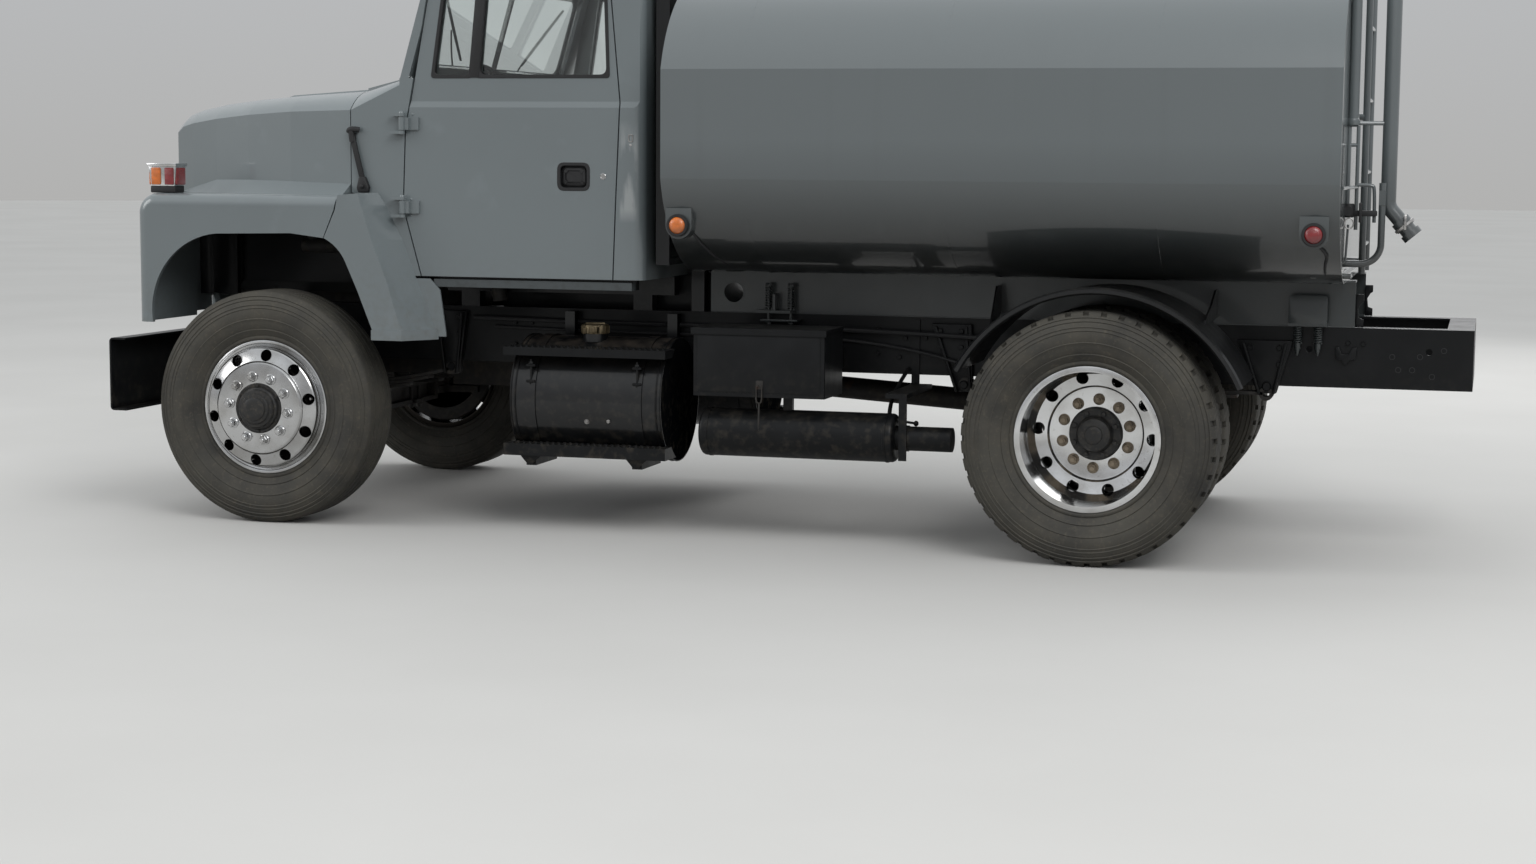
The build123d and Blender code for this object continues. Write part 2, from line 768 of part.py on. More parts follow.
screen_z = (2035, 2425)
cowl_shoulder_z, cowl_front_z = hood_sections[0][2:4]
with BuildPart() as cowl:
    for side in (1, -1):
        side_slab(
            (
                (1450, cab_bottom_z),
                (1700, cab_bottom_z),
                (1700, 1440),
                (hood_seam_x, hood_base_z + 10),
                (hood_seam_x, cowl_front_z),
                windshield_base,
                (1450, screen_low_z),
            ),
            *span((cab_half_width - cab_wall, cab_half_width), side),
        )
    block(
        (firewall_x, firewall_x + firewall_thickness),
        (-cab_half_width + 10, cab_half_width - 10),
        (cab_bottom_z, screen_low_z - 35),
    )
    side_slab(
        (
            windshield_base,
            (hood_seam_x, cowl_front_z),
            (hood_seam_x, cowl_front_z - 30),
            (screen_low_x - windshield_wall, screen_low_z - 38),
            (screen_low_x - windshield_wall, screen_low_z),
        ),
        -cab_half_width,
        cab_half_width,
    )
    side_slab(
        (
            windshield_base,
            (windshield_top_x, screen_top_z),
            (windshield_top_x - windshield_wall, screen_top_z),
            (screen_low_x - windshield_wall, screen_low_z),
        ),
        -cab_half_width,
        cab_half_width,
    )
    side_slab(
        (
            (screen_x(screen_z[0]) + 60, screen_z[0]),
            (screen_x(screen_z[1]) + 60, screen_z[1]),
            (screen_x(screen_z[1]) - 120, screen_z[1]),
            (screen_x(screen_z[0]) - 120, screen_z[0]),
        ),
        -windshield_half_width,
        windshield_half_width,
        mode=Mode.SUBTRACT,
    )
    for side in (1, -1):
        side_slab(
            (
                (firewall_x, screen_low_z - 98),
                (hood_seam_x, cowl_shoulder_z),
                (hood_seam_x, cowl_front_z - 10),
                (firewall_x, screen_low_z - 13),
            ),
            *span((cab_half_width - 130, cab_half_width - cab_wall + 5), side),
        )
        loft(
            [
                shoulder_waste(hood_seam_x + 1, cowl_shoulder_z, cowl_front_z, side),
                shoulder_waste(screen_low_x + 3, screen_low_z - 30, screen_low_z, side),
            ],
            ruled=True,
            mode=Mode.SUBTRACT,
        )
    door_opening()
    leaf_x = (hinge_x + 18, hinge_x + 50)
    for side in (1, -1):
        for z in hinge_heights:
            for low, high in ((z - 45, z - 32), (z + 32, z + 45)):
                with Locations((hinge_x, side * hinge_y, (low + high) / 2)):
                    Cylinder(hinge_radius + 2, high - low)
                block((hinge_x, leaf_x[1]), span((hinge_y - 12, hinge_y + 12), side), (low, high))
                block(leaf_x, span((cab_half_width, hinge_y + 12), side), (low, high))
            with Locations((hinge_x, side * hinge_y, z)):
                Cylinder(8, 70)
save(cowl, "cowl")

# Glass of the windshield and the rear window
with BuildPart() as cab_glass:
    gap = seat_gap
    low_z, high_z = screen_z[0] + gap, screen_z[1] - gap
    side_slab(
        (
            (screen_x(low_z) - 14, low_z),
            (screen_x(high_z) - 14, high_z),
            (screen_x(high_z) - 14 - glass_thickness, high_z),
            (screen_x(low_z) - 14 - glass_thickness, low_z),
        ),
        -windshield_half_width + gap,
        windshield_half_width - gap,
    )
    block(
        (cab_back_x + 22, cab_back_x + 22 + glass_thickness),
        (rear_window[0][0] + gap, rear_window[0][1] - gap),
        (rear_window[1][0] + gap, rear_window[1][1] - gap),
    )
save(cab_glass, "cab_glass")

# Doors with window cuts, frame bar and hinge knuckles; their panes
handle_place = (803, 1556)
handle_size = (142, 115)
handle_depth = 24
for side_name, side in sides:
    door_y = span((cab_half_width - cab_wall, cab_half_width), side)
    with BuildPart() as door:
        side_slab(door_outline, *door_y)
        side_slab(vent_outline, *door_y, mode=Mode.SUBTRACT)
        side_slab(window_outline, *door_y, mode=Mode.SUBTRACT)
        with BuildSketch(Plane.XZ.offset(-side * cab_half_width)):
            with Locations(handle_place):
                RectangleRounded(*handle_size, 14)
        extrude(amount=side * handle_depth, mode=Mode.SUBTRACT)
        set_back_above_belt()
        for z in hinge_heights:
            with Locations((hinge_x, side * hinge_y, z)):
                Cylinder(hinge_radius + 2, 54)
            knuckle_z = (z - 27, z + 27)
            leaf_y = span((cab_half_width - 4, cab_half_width + 12), side)
            block((hinge_x - 30, hinge_x), span((cab_half_width + 6, hinge_y), side), knuckle_z)
            block((hinge_x - 70, hinge_x - 18), leaf_y, knuckle_z)
            with Locations((hinge_x, side * hinge_y, z)):
                Cylinder(8 + bearing_gap, 60, mode=Mode.SUBTRACT)
    save(door, f"door_{side_name}")
    with BuildPart() as door_glass:
        pane_y = span((cab_half_width - 34, cab_half_width - 34 + glass_thickness), side)
        for outline in (vent_outline, window_outline):
            with BuildSketch(Plane.XZ.offset(-pane_y[0])):
                with BuildLine():
                    Polyline(*outline, close=True)
                make_face()
                offset(amount=-seat_gap, kind=Kind.INTERSECTION)
            extrude(amount=pane_y[0] - pane_y[1])
    save(door_glass, f"door_glass_{side_name}")

# Fixed fender corners behind the front wheels, as (X at the outer face, X at the cab side, Z) down the
# rear edge; the arch's edge is the same on both
corner_rear = (
    (1752, 1719, hood_base_z + 10),
    (1738, 1684, 1425),
    (1690, 1604, 1274),
    (1621, 1539, 1101),
    (1553, 1450, 880),
)
corner_arch = ((1690, 880), (1760, 1054), (1815, 1176))
corner_arch_turn = ((1815, 1176), (1858, 1238), (1917, 1279))
corner_seam = ((1917, 1279), (1862, 1402), (hood_seam_x + 4, hood_base_z))
corner_lip_z = (837, 882)
corner_lip = 12


def corner_face(y, column):
    """Outline of the corner panel at one distance from the middle."""
    rear = [(row[column], row[2]) for row in corner_rear]
    with BuildSketch(Plane.XZ.offset(-y)) as outline:
        with BuildLine():
            Polyline(*rear, *corner_arch)
            ThreePointArc(*corner_arch_turn)
            Polyline(*corner_seam, rear[0])
        make_face()
    return outline.sketch


with BuildPart() as cab_fender_corners:
    for side in (1, -1):
        loft([corner_face(side * cab_half_width, 1), corner_face(side * fender_outer_y, 0)], ruled=True)
        lip_outer_y = side * (fender_outer_y + corner_lip)
        with BuildSketch(Plane.XY.offset(corner_lip_z[0])) as lip:
            with BuildLine():
                Polyline(
                    (1690, lip_outer_y),
                    (1545, lip_outer_y),
                    (1436, side * cab_half_width),
                    (1690, side * cab_half_width),
                    close=True,
                )
            make_face()
        extrude(lip.sketch, amount=corner_lip_z[1] - corner_lip_z[0])
        side_slab(
            ((1600, 1104), (1475, 1104), (1428, 1054), (1401, 866), (1401, 850), (1600, 850)),
            *span((cab_half_width - 9, cab_half_width), side),
        )
save(cab_fender_corners, "cab_fender_corners")

# Dashboard with the steering column
column_top = (1330, 1850)
column_tilt = 40
column_y = 480
column_axis = (cos(radians(column_tilt)), 0, -sin(radians(column_tilt)))
with BuildPart() as dashboard:
    side_slab(
        ((firewall_x, 1600), (1500, 1600), (1440, 1700), (1440, 1890), (1480, 1930), (firewall_x, 1930)),
        -floor_half + 15,
        floor_half - 15,
    )
    with BuildSketch(Plane(origin=(column_top[0], column_y, column_top[1]), z_dir=column_axis)):
        Circle(28)
    extrude(amount=180)
save(dashboard, "dashboard")

steering_wheel_radius = 215
steering_rim = 15
with BuildPart() as steering_wheel:
    lift = 40
    centre = (
        column_top[0] - lift * column_axis[0],
        column_y,
        column_top[1] - lift * column_axis[2],
    )
    wheel_plane = Plane(origin=centre, x_dir=(0, 1, 0), z_dir=column_axis)
    with BuildSketch(Plane(origin=centre, x_dir=(0, 1, 0), z_dir=wheel_plane.y_dir)):
        with Locations((steering_wheel_radius, 0)):
            RegularPolygon(steering_rim, 8)
    revolve(axis=Axis(centre, column_axis))
    with BuildSketch(wheel_plane.offset(-12)):
        Circle(45)
    extrude(amount=lift + 12 - 0.5)
    with BuildSketch(wheel_plane.offset(-8)):
        for turn in (90, 210, 330):
            with Locations(Rot(0, 0, turn)):
                with Locations((steering_wheel_radius / 2, 0)):
                    Rectangle(steering_wheel_radius, 30)
    extrude(amount=12)
save(steering_wheel, "steering_wheel")

# Seats: cushion on a base and a raked back
with BuildPart() as seats:
    for y in (column_y, -column_y):
        side_slab(
            (
                (680, cab_bottom_z + floor_thickness),
                (1080, cab_bottom_z + floor_thickness),
                (1080, 1420),
                (1150, 1450),
                (1150, 1560),
                (800, 1550),
                (700, 2120),
                (590, 2120),
                (640, 1430),
                (680, 1420),
            ),
            y - 250,
            y + 250,
        )
save(seats, "seats")

# Hood: hollow loft through its sections, with its raised middle, nose and grille opening
def hood_face(x, half, shoulder, top, foot_width, foot_height, base=hood_base_z, wall=0):
    """One section of the hood, drawn upright."""
    half, shoulder, top = half - wall, shoulder - wall, top - wall
    (turn_y, turn_z), (knee_y, knee_z) = shoulder_points(half, shoulder, top)
    with BuildSketch(Plane(origin=(x, 0, 0), x_dir=(0, 1, 0), z_dir=(1, 0, 0))) as section:
        with BuildLine():
            Polyline(
                (-half, shoulder),
                (-half, base + foot_height),
                (-half - foot_width, base),
                (half + foot_width, base),
                (half, base + foot_height),
                (half, shoulder),
            )
            ThreePointArc((half, shoulder), (turn_y, turn_z), (knee_y, knee_z))
            ThreePointArc((knee_y, knee_z), (0, top), (-knee_y, knee_z))
            ThreePointArc((-knee_y, knee_z), (-turn_y, turn_z), (-half, shoulder))
        make_face()
    return section.sketch


def bulge_face(x, crown, height):
    """One section of the raised middle of the hood, from inside the crown up."""
    foot = crown - hood_wall
    half = bulge_half_width
    with BuildSketch(Plane(origin=(x, 0, 0), x_dir=(0, 1, 0), z_dir=(1, 0, 0))) as section:
        with BuildLine():
            Polyline(
                (-half - 28, foot),
                (half + 28, foot),
                (half, crown + height),
                (-half, crown + height),
                close=True,
            )
        make_face()
    return section.sketch


hood_rear_x = hood_sections[0][0]
bulge_end_x = 2500
with BuildPart() as hood_shell:
    loft([hood_face(*section) for section in hood_sections], ruled=True)
    crowns = [(section[0], section[3], bulge_height) for section in hood_sections[:3]]
    loft([bulge_face(*crown) for crown in (*crowns, (bulge_end_x, hood_sections[2][3] - 9, -8))], ruled=True)
    hollow_sections = (
        (hood_rear_x - 40, *hood_sections[0][1:]),
        *hood_sections[1:-2],
        (nose_x - nose_wall, *hood_sections[-2][1:]),
    )
    hollow = [hood_face(*section, base=hood_base_z - 80, wall=hood_wall) for section in hollow_sections]
    loft(hollow, ruled=True, mode=Mode.SUBTRACT)
    block((nose_x - nose_wall, nose_x), (-fender_inner_y, fender_inner_y), (nose_bottom_z, hood_base_z + 5))
    block((nose_x - 60, nose_x + 20), (-grille_half_width, grille_half_width), grille_z, mode=Mode.SUBTRACT)
    for side in (1, -1):
        y = span((hinge_lug_y - 24, hinge_lug_y + 24), side)
        block((nose_x - 60, nose_x + 20), y, (nose_bottom_z - 5, nose_bottom_z + 65), mode=Mode.SUBTRACT)
        side_slab(
            (
                (nose_x - nose_wall, nose_bottom_z + 140),
                (nose_x - nose_wall, nose_bottom_z + 60),
                (hood_pivot_x + 12, hood_pivot_z - 14),
                (hood_pivot_x - 14, hood_pivot_z - 10),
                (hood_pivot_x - 14, hood_pivot_z + 20),
            ),
            *span((hinge_lug_y - 6, hinge_lug_y + 6), side),
        )
        lug_face = Plane(origin=(hood_pivot_x, side * (hinge_lug_y - 6), hood_pivot_z), z_dir=(0, side, 0))
        with BuildSketch(lug_face):
            Circle(20)
        extrude(amount=12)
        with BuildSketch(lug_face.offset(-14)):
            Circle(hood_pin_radius + bearing_gap)
        extrude(amount=40, mode=Mode.SUBTRACT)
save(hood_shell, "hood_shell")

# Hood hinges: two ears and a pin on each horn
with BuildPart() as hood_hinges:
    drop = (rail_top_z - horn_top_z) / (horn_end_x - horn_start_x)
    ear_x = (hood_pivot_x - 26, hood_pivot_x + 26)
    for side in (1, -1):
        for y in ((hinge_lug_y - 20, hinge_lug_y - 8), (hinge_lug_y + 8, hinge_lug_y + 20)):
            side_slab(
                (
                    (ear_x[0], rail_top_z - drop * (ear_x[0] - horn_start_x)),
                    (ear_x[1], rail_top_z - drop * (ear_x[1] - horn_start_x)),
                    (ear_x[1], hood_pivot_z + 4),
                    (hood_pivot_x + 14, hood_pivot_z + 22),
                    (hood_pivot_x - 14, hood_pivot_z + 22),
                ),
                *span(y, side),
            )
        pin_plane = Plane(origin=(hood_pivot_x, side * (hinge_lug_y - 22), hood_pivot_z), z_dir=(0, side, 0))
        with BuildSketch(pin_plane):
            Circle(hood_pin_radius)
        extrude(amount=44)
save(hood_hinges, "hood_hinges")

with BuildPart() as grille:
    frame_lap = 22
    block(
        (nose_x, nose_x + 14),
        (-grille_half_width - frame_lap, grille_half_width + frame_lap),
        (grille_z[0] - frame_lap, grille_z[1] + frame_lap),
    )
    bar_count = 11
    pitch = (grille_z[1] - grille_z[0]) / bar_count
    for row in range(bar_count):
        low = grille_z[0] + row * pitch + 8
        block(
            (nose_x - 1, nose_x + 16),
            (-grille_half_width + 8, grille_half_width - 8),
            (low, low + pitch - 18),
            mode=Mode.SUBTRACT,
        )
save(grille, "grille")

# Front fenders: hollow, open below and towards the engine, with the wheel arch cut
fender_rear = ((hood_seam_x + 10, hood_base_z), (1869, 1402), (1921, 1279), (1921, fender_bottom_z))
fender_turn = ((fender_front_x, 1370), (2812, 1440), (2745, hood_base_z))
fender_hollow = (
    (fender_front_x - fender_wall, fender_bottom_z - 50),
    (fender_front_x - fender_wall, 1366),
    (2791, 1422),
    (2738, hood_base_z - fender_wall),
    (hood_seam_x - 20, hood_base_z - fender_wall),
    (hood_seam_x - 20, fender_bottom_z - 50),
)
arch_foot_z = fender_bottom_z - 50
arch_turn = ((2761, 895), (2683, 1165), (2440, 1291))
arch_rear = (
    (2440, 1291),
    (2078, 1298),
    (1921, 1279),
    (1840, 1160),
    (1840, arch_foot_z),
    (2766, arch_foot_z),
    (2761, 895),
)
for side_name, side in sides:
    inner_y, outer_y = side * fender_inner_y, side * fender_outer_y
    with BuildPart() as fender:
        with BuildSketch(Plane.XZ.offset(-inner_y)):
            with BuildLine():
                Polyline(*fender_rear, (fender_front_x, fender_bottom_z), fender_turn[0])
                ThreePointArc(*fender_turn)
                Line(fender_turn[2], fender_rear[0])
            make_face()
        extrude(amount=inner_y - outer_y)
        outer_face = span((fender_outer_y - 1, fender_outer_y + 1), side)
        outer = fender.edges().filter_by_position(Axis.Y, *outer_face)
        fillet(outer.filter_by(lambda edge: edge.center().Z > 1000 and edge.center().X > 2000), fender_round)
        hollow_y = span((fender_inner_y - 5, fender_outer_y - fender_wall), side)
        side_slab(fender_hollow, *hollow_y, mode=Mode.SUBTRACT)
        with BuildSketch(Plane.XZ.offset(-side * (fender_inner_y - 5))):
            with BuildLine():
                ThreePointArc(*arch_turn)
                Polyline(*arch_rear)
            make_face()
        extrude(amount=-side * (fender_outer_y - fender_inner_y + 10), mode=Mode.SUBTRACT)
    save(fender, f"fender_{side_name}")

with BuildPart() as headlamps:
    for side in (1, -1):
        block((fender_front_x, fender_front_x + 24), span((720, 1060), side), (1090, 1260))
        fillet(headlamps.edges().filter_by(Axis.X).group_by(SortBy.LENGTH)[0], 12)
save(headlamps, "headlamps")

turn_signal_x = (2660, 2808)
with BuildPart() as turn_signals:
    for side in (1, -1):
        block((turn_signal_x[0] + 35, turn_signal_x[1] - 35), span((1010, 1080), side), (hood_base_z, 1490))
        block(turn_signal_x, span((990, 1100), side), (1490, 1600))
save(turn_signals, "turn_signals")


# Tank: flat sides and floor, rounded shoulders and a slight crown
def tank_face(x, inset=0.0):
    """Section of the tank, drawn upright."""
    half = tank_half_width
    low_side, high_side = tank_side_z
    with BuildSketch(Plane(origin=(x, 0, 0), x_dir=(0, 1, 0), z_dir=(1, 0, 0))) as section:
        with BuildLine():
            Line((-tank_floor_half, tank_floor_z), (tank_floor_half, tank_floor_z))
            ThreePointArc((tank_floor_half, tank_floor_z), (1085, 1303), (half, low_side))
            Line((half, low_side), (half, high_side))
            ThreePointArc((half, high_side), (1085, 2245), (tank_floor_half, 2405))
            ThreePointArc((tank_floor_half, 2405), (0, tank_crown_z), (-tank_floor_half, 2405))
            ThreePointArc((-tank_floor_half, 2405), (-1085, 2245), (-half, high_side))
            Line((-half, high_side), (-half, low_side))
            ThreePointArc((-half, low_side), (-1085, 1303), (-tank_floor_half, tank_floor_z))
        make_face()
        if inset:
            offset(amount=inset)
    return section.sketch


with BuildPart() as tank:
    extrude(tank_face(tank_rear_x), amount=tank_front_x - tank_rear_x)
    extrude(tank_face(tank_front_x - head_recess, -head_rim), amount=head_recess + 1, mode=Mode.SUBTRACT)
    extrude(tank_face(tank_rear_x - 1, -head_rim), amount=head_recess + 1, mode=Mode.SUBTRACT)
    manhole_low = tank_crown_z - 20
    manhole_top_z = tank_crown_z + manhole_height
    with Locations((manhole_x, 0, (manhole_low + manhole_top_z) / 2)):
        Cylinder(manhole_radius, manhole_top_z - manhole_low)
    for side in (1, -1):
        block((lid_pivot_x - 12, lid_pivot_x + 12), span((54, 66), side), (manhole_low, lid_pivot_z + 12))
    block((lid_pivot_x - 12, manhole_x - manhole_radius + 20), (-66, 66), (manhole_low, manhole_low + 40))
    with BuildSketch(Plane(origin=(lid_pivot_x, -68, lid_pivot_z), z_dir=(0, 1, 0))):
        Circle(lid_pin_radius)
    extrude(amount=136)
save(tank, "tank")

with BuildPart() as manhole_lid:
    with Locations((manhole_x, 0, manhole_top_z + seat_gap + lid_thickness / 2)):
        Cylinder(lid_radius, lid_thickness)
    block(
        (lid_pivot_x, manhole_x - lid_radius + 30),
        (-50, 50),
        (manhole_top_z + seat_gap, manhole_top_z + seat_gap + lid_thickness),
    )
    barrel_plane = Plane(origin=(lid_pivot_x, -50, lid_pivot_z), z_dir=(0, 1, 0))
    with BuildSketch(barrel_plane):
        Circle(lid_pin_radius + 7)
    extrude(amount=100)
    with BuildSketch(barrel_plane):
        Circle(lid_pin_radius + bearing_gap)
    extrude(amount=100, mode=Mode.SUBTRACT)
save(manhole_lid, "manhole_lid")

# Sills: channels on the rails under the tank, with their spring brackets
with BuildPart() as tank_sills:
    for side in (1, -1):
        y = span((rail_outer_y - sill_flange, rail_outer_y), side)
        block((sill_rear_x, sill_front_x), y, (rail_top_z, tank_floor_z))
        block(
            (sill_rear_x, sill_front_x),
            span((rail_outer_y - sill_flange, rail_outer_y - sill_wall), side),
            (rail_top_z + sill_wall, tank_floor_z - sill_wall),
            mode=Mode.SUBTRACT,
        )
        with BuildSketch(Plane.XZ.offset(-side * rail_outer_y)):
            with Locations((252, 1041)):
                Circle(45)
        extrude(amount=side * 12, mode=Mode.SUBTRACT)
        for x in (49, -2280):
            block((x - 80, x + 80), span((rail_outer_y, rail_outer_y + 75), side), (956, 968))
            block((x - 6, x + 6), span((rail_outer_y, rail_outer_y + 60), side), (968, 1040))
    block(
        (sill_front_x - sill_wall, sill_front_x),
        (-rail_outer_y + sill_wall, rail_outer_y - sill_wall),
        (rail_top_z, tank_floor_z),
    )
save(tank_sills, "tank_sills")

# Cab guard: sheet on two posts that stand on the rails between cab and tank
guard_half_width = 930
guard_z = (1180, 2400)
guard_post = 60
guard_x = (cab_back_x - 30 - guard_post, cab_back_x - 30)
with BuildPart() as cab_guard:
    sheet_x = (guard_x[0] + 20, guard_x[0] + 24)
    block(sheet_x, (-guard_half_width, guard_half_width), guard_z)
    for z in (guard_z[0], guard_z[1] - guard_post / 2):
        block(guard_x, (-guard_half_width, guard_half_width), (z, z + guard_post / 2))
    for side in (1, -1):
        inner_y = rail_outer_y - 10 - guard_post
        block(guard_x, span((inner_y, inner_y + guard_post), side), (rail_top_z, guard_z[1]))
        block(guard_x, span((guard_half_width - guard_post / 2, guard_half_width), side), guard_z)
save(cab_guard, "cab_guard")

# Rear fenders: arched sheet with a tubular lip, carried by arms from the sills
with BuildPart() as rear_fenders:
    cx, cz = rear_fender_centre
    fender_start, fender_sweep = 28, 128
    for side in (1, -1):
        y_low, y_high = span((rear_fender_inner_y, rear_fender_outer_y), side)
        with BuildSketch(Plane.XZ.offset(-y_low)):
            with BuildLine():
                CenterArc((cx, cz), rear_fender_radius, fender_start, fender_sweep)
                CenterArc((cx, cz), rear_fender_radius - 6, fender_start, fender_sweep)
                for angle in (fender_start, fender_start + fender_sweep):
                    c, s = cos(radians(angle)), sin(radians(angle))
                    Line(
                        (cx + (rear_fender_radius - 6) * c, cz + (rear_fender_radius - 6) * s),
                        (cx + rear_fender_radius * c, cz + rear_fender_radius * s),
                    )
            make_face()
        extrude(amount=y_low - y_high)
        with BuildLine(Plane.XZ.offset(-side * (rear_fender_outer_y - rear_fender_lip / 2))) as lip:
            CenterArc((cx, cz), rear_fender_radius - 3, fender_start, fender_sweep)
        with BuildSketch(Plane(origin=lip.line @ 0, z_dir=lip.line % 0)):
            RegularPolygon(rear_fender_lip / 2 + 4, 6)
        sweep(path=lip.line)
        for x in (cx - 405, cx + 530):
            rest_z = cz + (rear_fender_radius ** 2 - (x - cx) ** 2) ** 0.5 - 8
            with BuildSketch(Plane(origin=(x, 0, 0), x_dir=(0, side, 0), z_dir=(side, 0, 0))):
                with BuildLine():
                    Polyline(
                        (rail_outer_y, 1100),
                        (rail_outer_y, 985),
                        (rear_fender_inner_y, rest_z),
                        (rear_fender_inner_y + 260, rest_z),
                        (rear_fender_inner_y + 260, rest_z + 24),
                        (rear_fender_inner_y + 40, rest_z + 70),
                        (rail_outer_y + 90, 1100),
                        close=True,
                    )
                make_face()
            extrude(amount=4, both=True)
save(rear_fenders, "rear_fenders")

# Fuel tanks with their strap cradles
with BuildPart() as fuel_tanks:
    for side in (1, -1):
        with BuildSketch(Plane.YZ.offset(fuel_tank_x[0])):
            with Locations((side * fuel_tank_y, fuel_tank_z)):
                Circle(fuel_tank_radius)
        extrude(amount=fuel_tank_x[1] - fuel_tank_x[0])
        for x in strap_x:
            with BuildSketch(Plane.YZ.offset(x)):
                with Locations((side * fuel_tank_y, fuel_tank_z)):
                    Circle(fuel_tank_radius + 5)
            extrude(amount=strap_width)
            bracket_y = span((rail_outer_y, rail_outer_y + 60), side)
            block((x, x + strap_width), bracket_y, (rail_bottom_z + 10, rail_top_z - 10))
        with Locations((786, side * (fuel_tank_y + 60), fuel_tank_z + fuel_tank_radius + 15)):
            Cylinder(56, 70)
save(fuel_tanks, "fuel_tanks")

with BuildPart() as cab_steps:
    step_x = (386, 1132)
    for side in (1, -1):
        for z in (upper_step_z, lower_step_z):
            block(step_x, span((fuel_tank_y + 128, step_outer_y), side), z)
        for x in strap_x:
            bracket_y = span((fuel_tank_y, step_outer_y - 30), side)
            block((x, x + strap_width), bracket_y, (lower_step_z[0] - 45, lower_step_z[0]))
        with BuildSketch(Plane.YZ.offset(step_x[0] - 10)):
            with Locations((side * fuel_tank_y, fuel_tank_z)):
                Circle(fuel_tank_radius + 5 + seat_gap)
        extrude(amount=step_x[1] - step_x[0] + 20, mode=Mode.SUBTRACT)
save(cab_steps, "cab_steps")

with BuildPart() as battery_box:
    block(battery_x, battery_y, battery_z)
    fillet(battery_box.edges().filter_by(Axis.Z), 8)
    lid_x = (battery_x[0] - 8, battery_x[1] + 8)
    block(lid_x, (battery_y[0] + 20, battery_y[1] + 8), (battery_z[1], battery_z[1] + 12))
    for x in (battery_x[0] + 60, battery_x[1] - 100):
        block((x, x + 40), (rail_outer_y, battery_y[0] + 5), (battery_z[0] + 90, battery_z[0] + 180))
save(battery_box, "battery_box")

with BuildPart() as muffler:
    with BuildSketch(Plane.YZ.offset(muffler_x[0])):
        with Locations((muffler_y, muffler_z)):
            Circle(muffler_radius)
    extrude(amount=muffler_x[1] - muffler_x[0])
    with BuildSketch(Plane.YZ.offset(tail_end_x)):
        with Locations((muffler_y, muffler_z)):
            Circle(tail_radius)
    extrude(amount=muffler_x[0] - tail_end_x)
    fillet(muffler.edges().filter_by(GeomType.CIRCLE).group_by(SortBy.LENGTH)[-1], 22)
    hanger_x = (-662, -628)
    hanger_y = (muffler_y + tail_radius - 4, muffler_y + tail_radius + 6)
    arm_z = (rail_bottom_z - 60, rail_bottom_z - 40)
    block((-150, -110), (muffler_y - 15, muffler_y + 15), (muffler_z + muffler_radius - 10, battery_z[0]))
    block(hanger_x, hanger_y, (372, arm_z[1]))
    block((hanger_x[0], -570), (rail_outer_y, hanger_y[1]), arm_z)
    block((-605, -570), (rail_outer_y, rail_outer_y + 10), (arm_z[0], rail_top_z - 10))
save(muffler, "muffler")

# Fill pipe behind the tank: from its coupling up and over the tank's top
fill_radius = 31
fill_y = 700
fill_x = tank_rear_x - 163
fill_top_z = 2545
elbow_z = 1465
coupling_x = fill_x - 62
coupling_z = elbow_z - 72
with BuildPart() as fill_pipe:
    with BuildLine(Plane.XZ.offset(-fill_y)) as fill_line:
        FilletPolyline(
            (coupling_x, coupling_z),
            (fill_x, elbow_z),
            (fill_x, fill_top_z),
            (tank_rear_x + 237, fill_top_z),
            (tank_rear_x + 237, tank_crown_z - 10),
            radius=60,
        )
    with BuildSketch(Plane(origin=fill_line.line @ 0, z_dir=fill_line.line % 0)):
        Circle(fill_radius)
    sweep(path=fill_line.line)
    mouth = Plane(origin=fill_line.line @ 0, z_dir=-(fill_line.line % 0))
    for lift, radius, length in ((-22, 40, 40), (18, 34, 20), (38, 42, 26)):
        with BuildSketch(mouth.offset(lift)):
            Circle(radius)
        extrude(amount=length)
save(fill_pipe, "fill_pipe")

# Riser pipe: thin, from low on the rear head up beside the fill pipe
riser_radius = 14
riser_y = fill_y + fill_radius + riser_radius + seat_gap
riser_x = fill_x + 22
with BuildPart() as riser_pipe:
    with BuildLine(Plane.XZ.offset(-riser_y)) as riser_line:
        FilletPolyline(
            (tank_rear_x + head_recess, 1232),
            (riser_x, 1232),
            (riser_x, 1560),
            radius=80,
        )
    with BuildSketch(Plane(origin=riser_line.line @ 0, z_dir=riser_line.line % 0)):
        Circle(riser_radius)
    sweep(path=riser_line.line)
    with Locations((riser_x, fill_y + fill_radius + riser_radius, 1500)):
        Box(26, 30, 60)
save(riser_pipe, "riser_pipe")

# Ladder on the tank's rear head
with BuildPart() as ladder:
    ladder_off = 55
    ladder_x = tank_rear_x - ladder_off
    ladder_y = (120, 480)
    ladder_z = (1180, 2480)
    for y in ladder_y:
        with Locations((ladder_x, y, sum(ladder_z) / 2)):
            Cylinder(14, ladder_z[1] - ladder_z[0])
        for z in (ladder_z[0] + 40, sum(ladder_z) / 2):
            with BuildSketch(Plane(origin=(ladder_x, y, z), z_dir=(1, 0, 0))):
                Circle(12)
            extrude(amount=ladder_off + head_recess)
    for rung in range(4):
        rung_z = ladder_z[0] + 120 + 300 * rung
        with BuildSketch(Plane(origin=(ladder_x, ladder_y[0], rung_z), z_dir=(0, 1, 0))):
            Circle(11)
        extrude(amount=ladder_y[1] - ladder_y[0])
save(ladder, "ladder")

